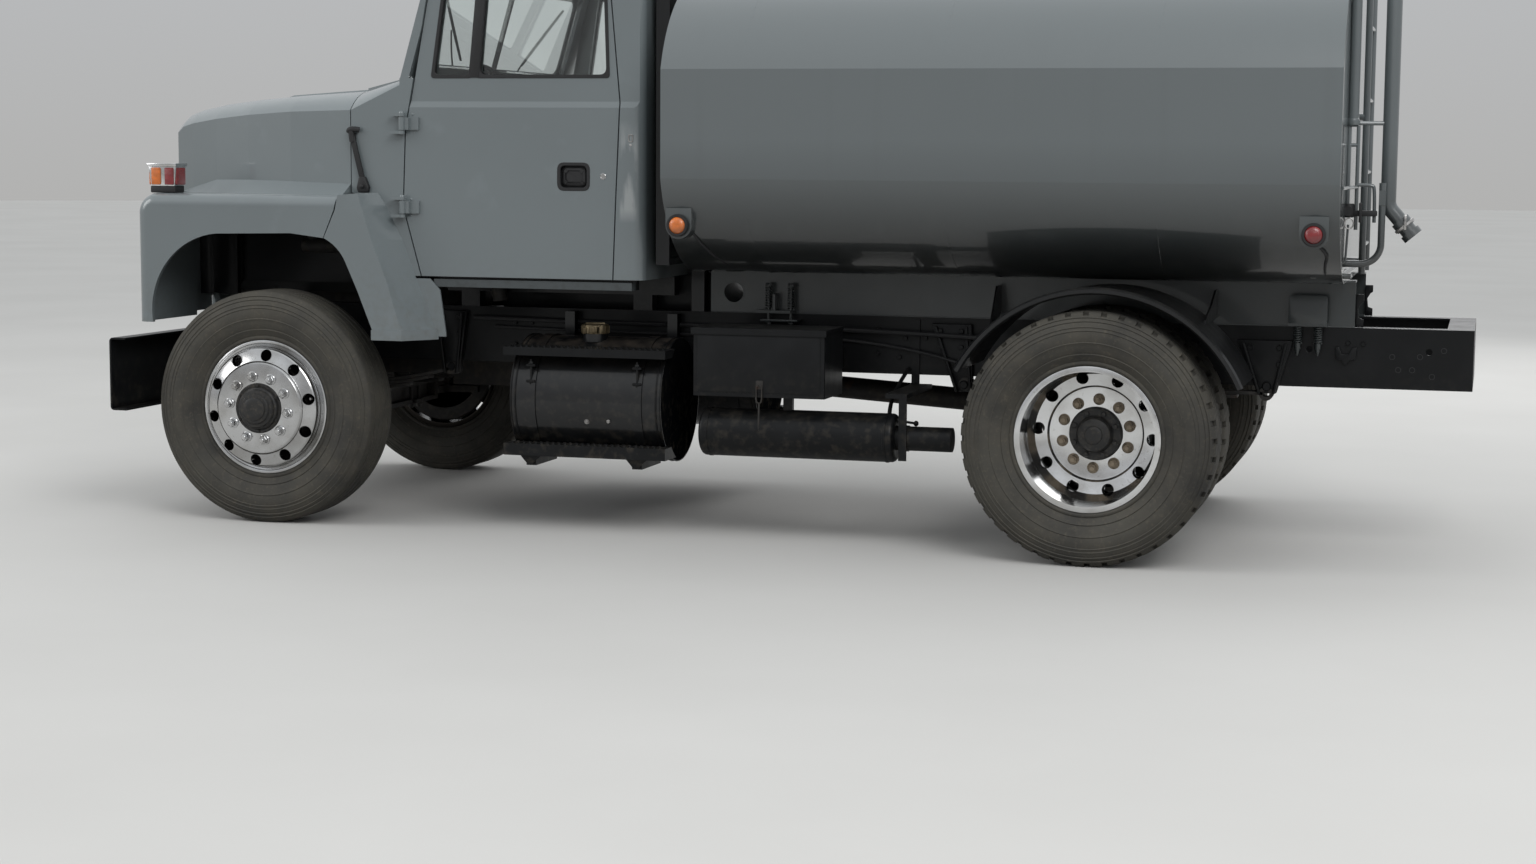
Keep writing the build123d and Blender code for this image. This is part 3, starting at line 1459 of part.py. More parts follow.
# Marker lamps on brackets low on the tank's sides
with BuildPart() as marker_lamps:
    lamp_radius = 57
    lamp_z = 1360
    lamp_y = (1040, 1188)
    for x in (tank_front_x - 65, tank_rear_x + 97):
        for side in (1, -1):
            with BuildSketch(Plane.XZ.offset(-side * lamp_y[0])):
                with Locations((x, lamp_z)):
                    Circle(lamp_radius)
                with Locations((x, lamp_z + 36)):
                    Rectangle(2 * lamp_radius, 72)
            extrude(amount=-side * (lamp_y[1] - lamp_y[0]))
            with BuildSketch(Plane(origin=(x, side * lamp_y[1], lamp_z), z_dir=(0, side, 0))):
                Circle(38)
            extrude(amount=20)
    extrude(tank_face(tank_rear_x - 50, seat_gap), amount=tank_front_x - tank_rear_x + 100, mode=Mode.SUBTRACT)
save(marker_lamps, "marker_lamps")
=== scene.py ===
# Looks of a two-axle tanker truck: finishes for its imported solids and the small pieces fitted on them.
# Metres. X points forward, Y to the driver's left, Z up; the origin lies on the ground.

import math

import bmesh
import bpy
from mathutils import Matrix, Vector


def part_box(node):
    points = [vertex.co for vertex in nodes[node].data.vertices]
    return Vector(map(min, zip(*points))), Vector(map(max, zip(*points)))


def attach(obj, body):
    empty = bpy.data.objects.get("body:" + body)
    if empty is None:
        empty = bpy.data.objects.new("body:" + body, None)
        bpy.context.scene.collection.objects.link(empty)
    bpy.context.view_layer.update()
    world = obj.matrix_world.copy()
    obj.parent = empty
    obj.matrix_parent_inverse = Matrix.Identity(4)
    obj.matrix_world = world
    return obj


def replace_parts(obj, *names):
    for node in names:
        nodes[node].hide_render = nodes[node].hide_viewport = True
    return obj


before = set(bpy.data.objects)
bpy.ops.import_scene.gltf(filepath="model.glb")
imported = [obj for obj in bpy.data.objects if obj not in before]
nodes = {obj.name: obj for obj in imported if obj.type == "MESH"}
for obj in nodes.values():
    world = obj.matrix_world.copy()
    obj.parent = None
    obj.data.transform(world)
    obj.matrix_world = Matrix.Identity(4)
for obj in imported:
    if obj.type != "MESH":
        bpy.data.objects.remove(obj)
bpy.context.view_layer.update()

SIDES = ("left", "right")
NOTHING = (0.0, 0.0, 0.0)
ACROSS, INWARDS = (0, 1, 0), (0, -1, 0)
AHEAD, BACK = (1, 0, 0), (-1, 0, 0)
UP, DOWN = (0, 0, 1), (0, 0, -1)


# Finishes


class Finish:
    """One material being mixed: each call lays wear, colour or relief over what is there."""

    def __init__(self, name, color, roughness, metallic=0.0, **sockets):
        self.material = bpy.data.materials.new(name)
        self.material.use_nodes = True
        tree = self.material.node_tree
        self.nodes = tree.nodes
        self.links = tree.links
        self.shader = self.nodes["Principled BSDF"]
        self.shader.inputs["Base Color"].default_value = (*color, 1)
        self.shader.inputs["Roughness"].default_value = roughness
        self.shader.inputs["Metallic"].default_value = metallic
        for socket, value in sockets.items():
            self.shader.inputs[socket.replace("_", " ")].default_value = value
        self.color = color
        self.color_socket = None
        self.normal_socket = None
        self.coordinates = self.nodes.new("ShaderNodeTexCoord")

    def mapped(self, stretch):
        """Object coordinates, stretched along the axes."""
        mapping = self.nodes.new("ShaderNodeMapping")
        mapping.inputs["Scale"].default_value = stretch
        self.links.new(self.coordinates.outputs["Object"], mapping.inputs["Vector"])
        return mapping.outputs["Vector"]

    def noise(self, scale, detail=3, stretch=(1, 1, 1)):
        texture = self.nodes.new("ShaderNodeTexNoise")
        texture.inputs["Scale"].default_value = scale
        texture.inputs["Detail"].default_value = detail
        self.links.new(self.mapped(stretch), texture.inputs["Vector"])
        return texture.outputs["Fac"]

    def cells(self, scale, stretch=(1, 1, 1)):
        texture = self.nodes.new("ShaderNodeTexVoronoi")
        texture.inputs["Scale"].default_value = scale
        self.links.new(self.mapped(stretch), texture.inputs["Vector"])
        return texture.outputs["Distance"]

    def bands(self, scale, direction="X", distortion=0.0):
        texture = self.nodes.new("ShaderNodeTexWave")
        texture.bands_direction = direction
        texture.inputs["Scale"].default_value = scale
        texture.inputs["Distortion"].default_value = distortion
        self.links.new(self.mapped((1, 1, 1)), texture.inputs["Vector"])
        return texture.outputs["Fac"]

    def place(self, axis, of="Object"):
        """One coordinate, or with of="Normal" how far the surface faces along that axis."""
        split = self.nodes.new("ShaderNodeSeparateXYZ")
        self.links.new(self.coordinates.outputs[of], split.inputs["Vector"])
        return split.outputs[axis]

    def share(self, socket, low, high):
        """0 at low, 1 at high."""
        span = self.nodes.new("ShaderNodeMapRange")
        span.inputs["From Min"].default_value = low
        span.inputs["From Max"].default_value = high
        self.links.new(socket, span.inputs["Value"])
        return span.outputs["Result"]

    def both(self, first, second, operation="MULTIPLY"):
        math_node = self.nodes.new("ShaderNodeMath")
        math_node.operation = operation
        math_node.use_clamp = True
        self.links.new(first, math_node.inputs[0])
        self.links.new(second, math_node.inputs[1])
        return math_node.outputs["Value"]

    def scaled(self, socket, factor):
        math_node = self.nodes.new("ShaderNodeMath")
        math_node.operation = "MULTIPLY"
        self.links.new(socket, math_node.inputs[0])
        math_node.inputs[1].default_value = factor
        return math_node.outputs["Value"]

    def fade(self, axis, low, high, of="Object"):
        return self.share(self.place(axis, of), low, high)

    def spots(self, scale, detail, low, high, stretch=(1, 1, 1)):
        return self.share(self.noise(scale, detail, stretch), low, high)

    def coat(self, mask, color):
        """Lay a colour over what is there, where mask is 1."""
        mix = self.nodes.new("ShaderNodeMix")
        mix.data_type = "RGBA"
        if self.color_socket is None:
            mix.inputs["A"].default_value = (*self.color, 1)
        else:
            self.links.new(self.color_socket, mix.inputs["A"])
        mix.inputs["B"].default_value = (*color, 1)
        self.links.new(mask, mix.inputs["Factor"])
        self.color_socket = mix.outputs["Result"]
        self.links.new(self.color_socket, self.shader.inputs["Base Color"])
        return self

    def patches(self, scale, detail, low, high, color, amount=1):
        """Lay a colour in patches of noise, more of it as the noise runs from low to high."""
        mask = self.spots(scale, detail, low, high)
        if amount != 1:
            mask = self.scaled(mask, amount)
        return self.coat(mask, color)

    def gloss(self, mask, smooth, rough):
        span = self.nodes.new("ShaderNodeMapRange")
        span.inputs["To Min"].default_value = smooth
        span.inputs["To Max"].default_value = rough
        self.links.new(mask, span.inputs["Value"])
        self.links.new(span.outputs["Result"], self.shader.inputs["Roughness"])
        return self

    def relief(self, height, depth, strength=1.0):
        bump = self.nodes.new("ShaderNodeBump")
        bump.inputs["Distance"].default_value = depth
        bump.inputs["Strength"].default_value = strength
        self.links.new(height, bump.inputs["Height"])
        if self.normal_socket is not None:
            self.links.new(self.normal_socket, bump.inputs["Normal"])
        self.normal_socket = bump.outputs["Normal"]
        self.links.new(self.normal_socket, self.shader.inputs["Normal"])
        return self


GREY = (0.18, 0.208, 0.216)
TANK_GREY = (0.138, 0.158, 0.163)
BLACK = (0.0045, 0.005, 0.0057)
ROAD_DUST = (0.115, 0.098, 0.075)
DRY_MUD = (0.17, 0.145, 0.105)
FLOOR_EDGE_SQUARED = 0.895


def shade(color, share):
    return tuple(share * c for c in color)


def patchy(name, color, roughness, coats, gloss, grain, metallic=0.0, **sockets):
    """A finish of noise patches over one colour, uneven in gloss and with a fine grain."""
    finish = Finish(name, color, roughness, metallic, **sockets)
    for coat in coats:
        finish.patches(*coat)
    scale, detail, smooth, rough = gloss
    finish.gloss(finish.noise(scale, detail), smooth, rough)
    scale, detail, depth, strength = grain
    finish.relief(finish.noise(scale, detail), depth, strength)
    return finish.material


def grey_paint():
    paint = Finish("grey_gloss_paint", GREY, 0.32, Coat_Weight=0.85, Coat_Roughness=0.05)
    paint.patches(0.8, 4, 0.42, 0.85, shade(GREY, 0.86))
    paint.patches(5.5, 6, 0.62, 0.8, shade(GREY, 1.12))
    low = paint.fade("Z", 1.25, 0.7)
    splash = paint.both(low, paint.spots(34, 5, 0.42, 0.72))
    paint.coat(paint.scaled(splash, 0.35), ROAD_DUST)
    pillar = paint.both(paint.fade("X", 0.596, 0.586), paint.fade("X", 0.505, 0.525))
    height = paint.both(paint.fade("Z", 1.36, 1.42), paint.fade("Z", 1.8, 1.7))
    rubbed = paint.spots(7, 5, 0.4, 0.56, (2.2, 1, 0.5))
    paint.coat(paint.scaled(paint.both(paint.both(pillar, height), rubbed), 0.75), (0.42, 0.44, 0.44))
    paint.gloss(paint.noise(7, 5), 0.26, 0.42)
    paint.relief(paint.noise(420, 2), 0.00012, 0.35)
    return paint.material


def tank_paint():
    paint = Finish("tank_grey_paint", TANK_GREY, 0.26, Coat_Weight=1.0, Coat_Roughness=0.05)
    paint.coat(paint.spots(0.55, 3, 0.4, 0.8, (0.35, 1, 1)), shade(TANK_GREY, 0.9))
    # Darker towards the bottom of the tank: painted shade, standing for the dark ground reflected in its
    # lower side.
    paint.coat(paint.scaled(paint.fade("Z", 1.72, 1.25), 0.85), (0.016, 0.018, 0.018))
    runs = paint.both(
        paint.spots(9, 4, 0.56, 0.8, (1, 1, 0.06)),
        paint.fade("Z", 2.4, 1.5),
    )
    paint.coat(paint.scaled(runs, 0.25), (0.09, 0.1, 0.1))
    low = paint.fade("Z", 1.4, 1.12)
    paint.coat(paint.scaled(paint.both(low, paint.spots(20, 5, 0.35, 0.75)), 0.4), (0.07, 0.068, 0.06))
    paint.gloss(paint.noise(4, 5), 0.24, 0.4)
    paint.relief(paint.noise(2.6, 2), 0.0035, 0.3)
    paint.relief(paint.noise(380, 2), 0.00012, 0.35)
    return paint.material


def black_paint(name, coat, dust, dusty, dull_ends=False):
    paint = Finish(name, BLACK, 0.42, Coat_Weight=coat, Coat_Roughness=0.16, Specular_IOR_Level=0.2)
    paint.patches(6, 6, 0.45, 0.8, (0.009, 0.0095, 0.0105))
    settled = paint.both(paint.fade("Z", 0.5, 0.95, "Normal"), paint.spots(16, 6, 0.35, 0.7))
    paint.coat(paint.scaled(settled, dusty), dust)
    low = paint.both(paint.fade("Z", 0.8, 0.3), paint.spots(28, 6, 0.5, 0.75))
    paint.coat(paint.scaled(low, 0.4), ROAD_DUST)
    paint.gloss(paint.noise(12, 5), 0.3, 0.55)
    if dull_ends:
        lengthwise = paint.place("X", "Normal")
        side_faces = paint.share(paint.both(lengthwise, lengthwise), 0.8, 0.5)
        paint.links.new(paint.scaled(side_faces, coat), paint.shader.inputs["Coat Weight"])
        paint.links.new(paint.scaled(side_faces, 0.2), paint.shader.inputs["Specular IOR Level"])
    paint.relief(paint.noise(160, 3), 0.0003, 0.5)
    return paint.material


def floor_paint():
    paint = Finish("cab_floor_paint", BLACK, 0.42, Coat_Weight=0.3, Coat_Roughness=0.16,
                   Specular_IOR_Level=0.3)
    across = paint.place("Y")
    strip = paint.share(paint.both(across, across), FLOOR_EDGE_SQUARED, FLOOR_EDGE_SQUARED + 0.004)
    paint.coat(strip, (0.075, 0.085, 0.088))
    paint.patches(22, 6, 0.5, 0.75, (0.03, 0.028, 0.025), 0.4)
    paint.gloss(paint.noise(12, 5), 0.3, 0.5)
    return paint.material


def polished_metal(name, inner_shade_and_brake_dust):
    metal = Finish(name, (0.72, 0.725, 0.73), 0.12, 1.0)
    metal.patches(7, 6, 0.42, 0.7, (0.36, 0.345, 0.32), 0.6)
    metal.patches(60, 5, 0.63, 0.74, (0.32, 0.3, 0.27), 0.5)
    if inner_shade_and_brake_dust:
        # The inner half of each front wheel is painted near black: painted shade under the truck, with brake
        # dust.
        across = metal.place("Y")
        inner = metal.share(metal.both(across, across), 1.02, 0.94)
        metal.coat(metal.both(inner, metal.fade("X", 0, 0.1)), (0.02, 0.018, 0.016))
    metal.gloss(metal.noise(9, 6), 0.07, 0.27)
    metal.relief(metal.noise(5, 3), 0.0006, 0.25)
    return metal.material


def dull_metal(name, color, roughness):
    coats = ((40, 5, 0.5, 0.75, shade(color, 0.5)),)
    gloss = (30, 5, roughness - 0.08, roughness + 0.14)
    return patchy(name, color, roughness, coats, gloss, (200, 3, 0.0002, 0.4), 1.0)


def woven_cloth():
    cloth = Finish("grey_woven_seat_cloth", (0.055, 0.057, 0.062), 0.88, Sheen_Weight=0.3)
    cloth.patches(4, 4, 0.4, 0.75, (0.038, 0.039, 0.043))
    cloth.relief(cloth.bands(260, "X"), 0.0005, 0.6)
    cloth.relief(cloth.bands(260, "Y"), 0.0005, 0.6)
    cloth.relief(cloth.noise(300, 4), 0.0004, 0.5)
    return cloth.material


def window_glass():
    glass = Finish("window_glass", (0.93, 0.97, 0.96), 0.0, Transmission_Weight=1.0, IOR=1.5)
    glass.gloss(glass.spots(3, 6, 0.35, 0.8), 0.0, 0.06)
    return glass.material


def soft_trim(name, color, grain, roughness=0.75):
    trim = Finish(name, color, roughness)
    trim.patches(5, 4, 0.4, 0.8, shade(color, 1.25))
    trim.gloss(trim.noise(30, 3), roughness - 0.1, min(1.0, roughness + 0.12))
    trim.relief(trim.cells(grain), 0.0004, 0.5)
    return trim.material


def lens(name, color):
    clear = Finish(name, color, 0.08, Coat_Weight=1.0, Coat_Roughness=0.03)
    clear.patches(40, 3, 0.35, 0.75, shade(color, 0.62))
    clear.relief(clear.bands(70, "X"), 0.0006, 0.5)
    clear.relief(clear.bands(70, "Z"), 0.0006, 0.5)
    return clear.material


SILL_COATS = ((3, 5, 0.4, 0.8, (0.026, 0.031, 0.031)), (24, 6, 0.55, 0.75, (0.055, 0.05, 0.042), 0.3))
IRON_COATS = (
    (9, 6, 0.45, 0.75, (0.035, 0.03, 0.026)),
    (30, 6, 0.5, 0.75, (0.075, 0.062, 0.047), 0.55),
    (14, 6, 0.64, 0.76, (0.09, 0.038, 0.018), 0.6),
)
TYRE_COATS = (
    (2.4, 6, 0.34, 0.62, (0.07, 0.066, 0.055)),
    (9, 8, 0.4, 0.75, (0.09, 0.081, 0.063), 0.6),
    (70, 6, 0.55, 0.75, DRY_MUD, 0.3),
    (5, 6, 0.5, 0.75, (0.024, 0.023, 0.021), 0.35),
)
HUB_COATS = ((35, 6, 0.45, 0.75, (0.03, 0.027, 0.023)), (90, 5, 0.55, 0.7, (0.09, 0.075, 0.055), 0.5))

PAINT = grey_paint(), "grey_paint"
TANK_PAINT = tank_paint(), "grey_paint"
FRAME_BLACK = black_paint("frame_black_paint", 0.08, (0.045, 0.042, 0.037), 0.4), "frame_black"
SATIN_BLACK = black_paint("satin_black_paint", 0.55, (0.045, 0.042, 0.037), 0.4), "frame_black"
# The sills carry the tank's grey paint, darkened almost to black as painted shade under the tank.
SILL_GREY_IN_PAINTED_SHADE = patchy(
    "shaded_sill_paint", (0.034, 0.041, 0.042), 0.4, SILL_COATS, (12, 5, 0.3, 0.5), (200, 3, 0.0002, 0.4),
    Coat_Weight=0.5, Coat_Roughness=0.12,
), "frame_black"
FLOOR_PAINT = floor_paint(), "frame_black"
FUEL_TANK_BLACK = black_paint("fuel_tank_black_paint", 0.7, (0.06, 0.05, 0.041), 0.95, True), "frame_black"
IRON = patchy(
    "dusty_cast_iron", (0.018, 0.017, 0.016), 0.62, IRON_COATS, (20, 4, 0.5, 0.8), (120, 5, 0.0009, 0.6), 0.15
), "running_gear"
TYRE = patchy(
    "dusty_tyre_rubber", (0.033, 0.032, 0.029), 0.78, TYRE_COATS, (12, 5, 0.68, 0.92), (140, 5, 0.0008, 0.55)
), "tyre_rubber"
POLISHED = polished_metal("polished_wheel_metal", True), "polished_wheel"
CHROME = polished_metal("polished_trim_metal", False), "lamp_lens"
BRASS = dull_metal("tarnished_brass", (0.42, 0.34, 0.22), 0.5), "running_gear"
STEEL = dull_metal("machined_steel", (0.42, 0.41, 0.4), 0.36), "running_gear"
DUSTY_STEEL = dull_metal("dusty_steel", (0.3, 0.25, 0.19), 0.6), "running_gear"
HUB_BLACK = patchy(
    "dusty_hub_paint", (0.012, 0.012, 0.012), 0.5, HUB_COATS, (40, 5, 0.38, 0.68), (150, 4, 0.0004, 0.5)
), "running_gear"
GLASS = window_glass(), "clear_glass"
RUBBER = soft_trim("black_rubber_seal", (0.012, 0.012, 0.013), 700, 0.6), "cab_trim"
TRIM = soft_trim("cab_trim_plastic", (0.05, 0.052, 0.055), 420), "cab_trim"
SEAT_CLOTH = woven_cloth(), "cab_trim"
AMBER = lens("amber_lens", (0.8, 0.185, 0.012)), "lamp_lens"
RED = lens("red_lens", (0.26, 0.006, 0.009)), "lamp_lens"
CLEAR_LENS = lens("clear_lamp_lens", (0.62, 0.65, 0.66)), "lamp_lens"

NODE_FINISHES = (
    (PAINT, ("hood_shell", "fender_left", "fender_right", "cowl", "cab_roof", "cab_back_wall", "door_left",
             "door_right", "cab_fender_corners")),
    (TANK_PAINT, ("tank", "manhole_lid", "riser_pipe", "fill_pipe", "ladder", "marker_lamps")),
    (FRAME_BLACK, ("frame_rail_left", "frame_rail_right", "frame_crossmembers", "bumper",
                   "cab_steps", "battery_box", "muffler", "hood_hinges", "grille")),
    (SATIN_BLACK, ("rear_fenders", "cab_guard")),
    (FLOOR_PAINT, ("cab_floor",)),
    (SILL_GREY_IN_PAINTED_SHADE, ("tank_sills",)),
    (FUEL_TANK_BLACK, ("fuel_tanks",)),
    (IRON, ("engine_block", "driveshaft", "front_axle_beam", "rear_axle", "leaf_springs", "knuckle_left",
            "knuckle_right", "radiator")),
    (TYRE, ("tyre_front_left", "tyre_front_right", "tyres_rear_left", "tyres_rear_right")),
    (POLISHED, ("wheel_front_left", "wheel_front_right", "wheels_rear_left", "wheels_rear_right")),
    (IRON, ("hub_front_left", "hub_front_right", "hub_rear_left", "hub_rear_right")),
    (GLASS, ("cab_glass", "door_glass_left", "door_glass_right")),
    (TRIM, ("dashboard", "seats", "steering_wheel")),
    (CLEAR_LENS, ("headlamps",)),
    (AMBER, ("turn_signals",)),
)
for (material, _), names in NODE_FINISHES:
    for name in names:
        nodes[name].data.materials.clear()
        nodes[name].data.materials.append(material)


# Ways of making a piece


def deselect():
    bpy.ops.object.select_all(action="DESELECT")


def alone(piece):
    deselect()
    piece.select_set(True)
    bpy.context.view_layer.objects.active = piece


def fix_in_place():
    bpy.ops.object.transform_apply(location=True, rotation=True, scale=True)


def open_mesh(piece):
    alone(piece)
    bpy.ops.object.mode_set(mode="EDIT")
    bpy.ops.mesh.select_mode(type="EDGE")
    bpy.ops.mesh.select_all(action="SELECT")


def close_mesh():
    """Merge what meets, turn the faces outwards and leave the mesh."""
    bpy.ops.mesh.select_all(action="SELECT")
    bpy.ops.mesh.remove_doubles(threshold=0.00004)
    bpy.ops.mesh.normals_make_consistent(inside=False)
    bpy.ops.object.mode_set(mode="OBJECT")
    return bpy.context.object


def choose(test):
    """Select the faces whose middle and normal pass the test."""
    bpy.ops.mesh.select_mode(type="FACE")
    bpy.ops.mesh.select_all(action="DESELECT")
    mesh = bmesh.from_edit_mesh(bpy.context.object.data)
    for face in mesh.faces:
        face.select_set(test(face.calc_center_median(), face.normal))
    bmesh.update_edit_mesh(bpy.context.object.data)


def turn_about(axis, degrees):
    return Matrix.Rotation(math.radians(degrees), 4, axis)


def on(place, facing=UP, turn=0.0):
    """Matrix that stands a piece made along Z at a place, facing along a direction."""
    stand = Vector(facing).to_track_quat("Z", "Y").to_matrix().to_4x4()
    return Matrix.Translation(place) @ stand @ turn_about("Z", turn)


def moved(piece, matrix):
    """A piece carried by a matrix and left there."""
    piece.matrix_world = matrix
    alone(piece)
    fix_in_place()
    return piece


def placed(piece, place, facing=ACROSS, turn=0.0):
    return moved(piece, on(place, facing, turn))


def joined(*pieces):
    deselect()
    for piece in pieces:
        piece.select_set(True)
    bpy.context.view_layer.objects.active = pieces[0]
    bpy.context.view_layer.update()
    if len(pieces) > 1:
        bpy.ops.object.join()
    fix_in_place()
    return bpy.context.object


def copied(piece):
    copy = piece.copy()
    copy.data = piece.data.copy()
    bpy.context.scene.collection.objects.link(copy)
    return copy


def spread(piece, matrices):
    """Copies of one piece at several places, made one."""
    copies = []
    for matrix in matrices:
        copy = copied(piece)
        copy.matrix_world = matrix
        copies.append(copy)
    bpy.data.objects.remove(piece)
    return joined(*copies)


def mirrored(piece):
    """The same piece on the vehicle's other side."""
    twin = copied(piece)
    twin.scale.y = -1
    alone(twin)
    fix_in_place()
    open_mesh(twin)
    return close_mesh()


def both_sides(piece):
    return joined(piece, mirrored(piece))


def turned(rings, sides=32, tube=False):
    """Turn rings of radius and height about Z; a tube's last ring meets its first."""
    deselect()
    radius, height = rings[0]
    bpy.ops.mesh.primitive_circle_add(
        vertices=sides, radius=radius, fill_type="NOTHING" if tube else "NGON", location=(0, 0, height)
    )
    bpy.ops.object.mode_set(mode="EDIT")
    bpy.ops.mesh.select_mode(type="EDGE")
    bpy.ops.mesh.select_all(action="SELECT")
    for next_radius, next_height in (*rings[1:], *(rings[:1] if tube else ())):
        bpy.ops.mesh.extrude_edges_move(TRANSFORM_OT_translate={"value": (0, 0, next_height - height)})
        share = next_radius / radius
        bpy.ops.transform.resize(value=(share, share, 1), center_override=(0, 0, next_height))
        radius, height = next_radius, next_height
    if not tube:
        bpy.ops.mesh.edge_face_add()
    piece = close_mesh()
    fix_in_place()
    return piece


def turned_at(rings, sides, place, facing=ACROSS, tube=False):
    """Rings turned and stood at a place, facing along a direction."""
    return placed(turned(rings, sides, tube), place, facing)


def bevelled(piece, width, segments=2):
    if width:
        open_mesh(piece)
        bpy.ops.mesh.bevel(offset=width, segments=segments, affect="EDGES")
        close_mesh()
    return piece


def block(low, high, bevel=0.003):
    deselect()
    middle = [(a + b) / 2 for a, b in zip(low, high)]
    size = [b - a for a, b in zip(low, high)]
    bpy.ops.mesh.primitive_cube_add(size=1, location=middle, scale=size)
    fix_in_place()
    return bevelled(bpy.context.object, bevel)


def spaced(first, last, count):
    """As many values from first to last, evenly apart."""
    return [first + (last - first) * step / (count - 1) for step in range(count)]


def flat_ring(outline, level, axis):
    """A closed line of points on one level of an axis."""
    deselect()
    bpy.ops.mesh.primitive_circle_add(vertices=len(outline), radius=1, fill_type="NOTHING", location=NOTHING)
    line = bpy.context.object
    for vertex, (first, second) in zip(line.data.vertices, outline):
        vertex.co = {
            "X": (level, first, second),
            "Y": (first, level, second),
            "Z": (first, second, level),
        }[axis]
    return line


def raise_faces(low, high, axis):
    """Raise the selected faces from one level of an axis to another and leave the mesh."""
    step = [high - low if letter == axis else 0 for letter in "XYZ"]
    bpy.ops.mesh.extrude_region_move(TRANSFORM_OT_translate={"value": step})
    close_mesh()


def pressed(piece, faces, margin, step):
    """A piece with the chosen faces pressed in or out by a step, inside a margin."""
    open_mesh(piece)
    choose(faces)
    bpy.ops.mesh.inset(thickness=margin)
    bpy.ops.mesh.extrude_region_move(TRANSFORM_OT_translate={"value": step})
    return close_mesh()


def plate(outline, low, high, axis="Y", bevel=0.001):
    """An outline raised from one level of an axis to another."""
    sheet = flat_ring(outline, low, axis)
    open_mesh(sheet)
    bpy.ops.mesh.edge_face_add()
    raise_faces(low, high, axis)
    return bevelled(sheet, bevel)


def frame_plate(outer, inner, low, high, axis="Y", bevel=0.0008):
    """A flat frame between two outlines of as many points."""
    frame_mesh = joined(flat_ring(outer, low, axis), flat_ring(inner, low, axis))
    open_mesh(frame_mesh)
    bpy.ops.mesh.bridge_edge_loops()
    bpy.ops.mesh.select_all(action="SELECT")
    raise_faces(low, high, axis)
    return bevelled(frame_mesh, bevel, 1)


def rounded(outline, radius, steps=5):
    """An outline with its corners rounded."""
    points = [Vector(point) for point in outline]
    result = []
    for index, corner in enumerate(points):
        back = (points[index - 1] - corner).normalized()
        ahead = (points[(index + 1) % len(points)] - corner).normalized()
        half_angle = back.angle(ahead) / 2
        run = radius / math.tan(half_angle)
        start, end = corner + back * run, corner + ahead * run
        for step in range(steps + 1):
            share = step / steps
            near = start.lerp(corner, share).lerp(corner.lerp(end, share), share)
            result.append(tuple(near))
    return result


def offset_outline(outline, distance):
    """An outline moved inwards, or with a negative distance outwards."""
    points = [Vector(point) for point in outline]
    area = sum(a.x * b.y - b.x * a.y for a, b in zip(points, points[1:] + points[:1]))
    inward = 1 if area > 0 else -1
    result = []
    for index, corner in enumerate(points):
        before = (corner - points[index - 1]).normalized()
        after = (points[(index + 1) % len(points)] - corner).normalized()
        normal_before = inward * Vector((-before.y, before.x))
        normal_after = inward * Vector((-after.y, after.x))
        middle = (normal_before + normal_after).normalized()
        result.append(tuple(corner + middle * (distance / max(0.2, middle.dot(normal_before)))))
    return result


def oblong(low, high):
    return ((low[0], low[1]), (high[0], low[1]), (high[0], high[1]), (low[0], high[1]))


def soft_oblong(low, high, radius):
    """An oblong with its corners rounded."""
    return rounded(oblong(low, high), radius)


def pipe(points, radius, smooth_run=False, sides=3, closed=False):
    """A round bar or wire along points."""
    line = bpy.data.curves.new("line", "CURVE")
    line.dimensions = "3D"
    line.bevel_depth = radius
    line.bevel_resolution = sides
    line.resolution_u = 6
    line.use_fill_caps = True
    run = line.splines.new("NURBS" if smooth_run else "POLY")
    run.points.add(len(points) - 1)
    for point, place in zip(run.points, points):
        point.co = (*place, 1)
    if smooth_run:
        run.order_u = 3
        run.use_endpoint_u = True
    run.use_cyclic_u = closed
    holder = bpy.data.objects.new("line", line)
    bpy.context.scene.collection.objects.link(holder)
    alone(holder)
    bpy.ops.object.convert(target="MESH")
    open_mesh(bpy.context.object)
    return close_mesh()


def coil(radius, wire, height, turns):
    """A spring standing on Z."""
    deselect()
    bpy.ops.mesh.primitive_circle_add(
        vertices=7, radius=wire, fill_type="NOTHING", location=(radius, 0, wire), rotation=(math.pi / 2, 0, 0)
    )
    fix_in_place()
    wound = bpy.context.object
    screw = wound.modifiers.new("wind", "SCREW")
    screw.iterations = turns
    screw.screw_offset = (height - 2 * wire) / turns
    screw.steps = screw.render_steps = 14
    bpy.ops.object.modifier_apply(modifier="wind")
    open_mesh(wound)
    bpy.ops.mesh.fill_holes(sides=0)
    return close_mesh()


def hex_head(radius, height):
    washer = turned(((1.28 * radius, 0), (1.28 * radius, 0.14 * height)), 14)
    head = turned(((radius, 0.14 * height), (radius, 0.8 * height), (0.84 * radius, height)), 6)
    return joined(head, washer)


def bolt_heads(places, facing, radius, height=None):
    spots = [on(place, facing, 17.0 * index) for index, place in enumerate(places)]
    return spread(hex_head(radius, height or 1.1 * radius), spots)


def settle(piece, name, finish, body="chassis", smooth=35):
    """Give a made piece its name, finish and body."""
    material, slot_name = finish
    alone(piece)
    fix_in_place()
    bpy.ops.object.shade_smooth_by_angle(angle=math.radians(smooth))
    piece.name = name
    piece.data.name = name
    piece.data.materials.clear()
    piece.data.materials.append(material)
    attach(piece, body)
    return piece


def settle_both(piece, name, finish, body="chassis", smooth=35):
    """A left piece and its mirror image, each on its own side's body."""
    twin = mirrored(piece)
    return (
        settle(piece, f"{name}_left", finish, body, smooth),
        settle(twin, f"{name}_right", finish, body.replace("left", "right"), smooth),
    )


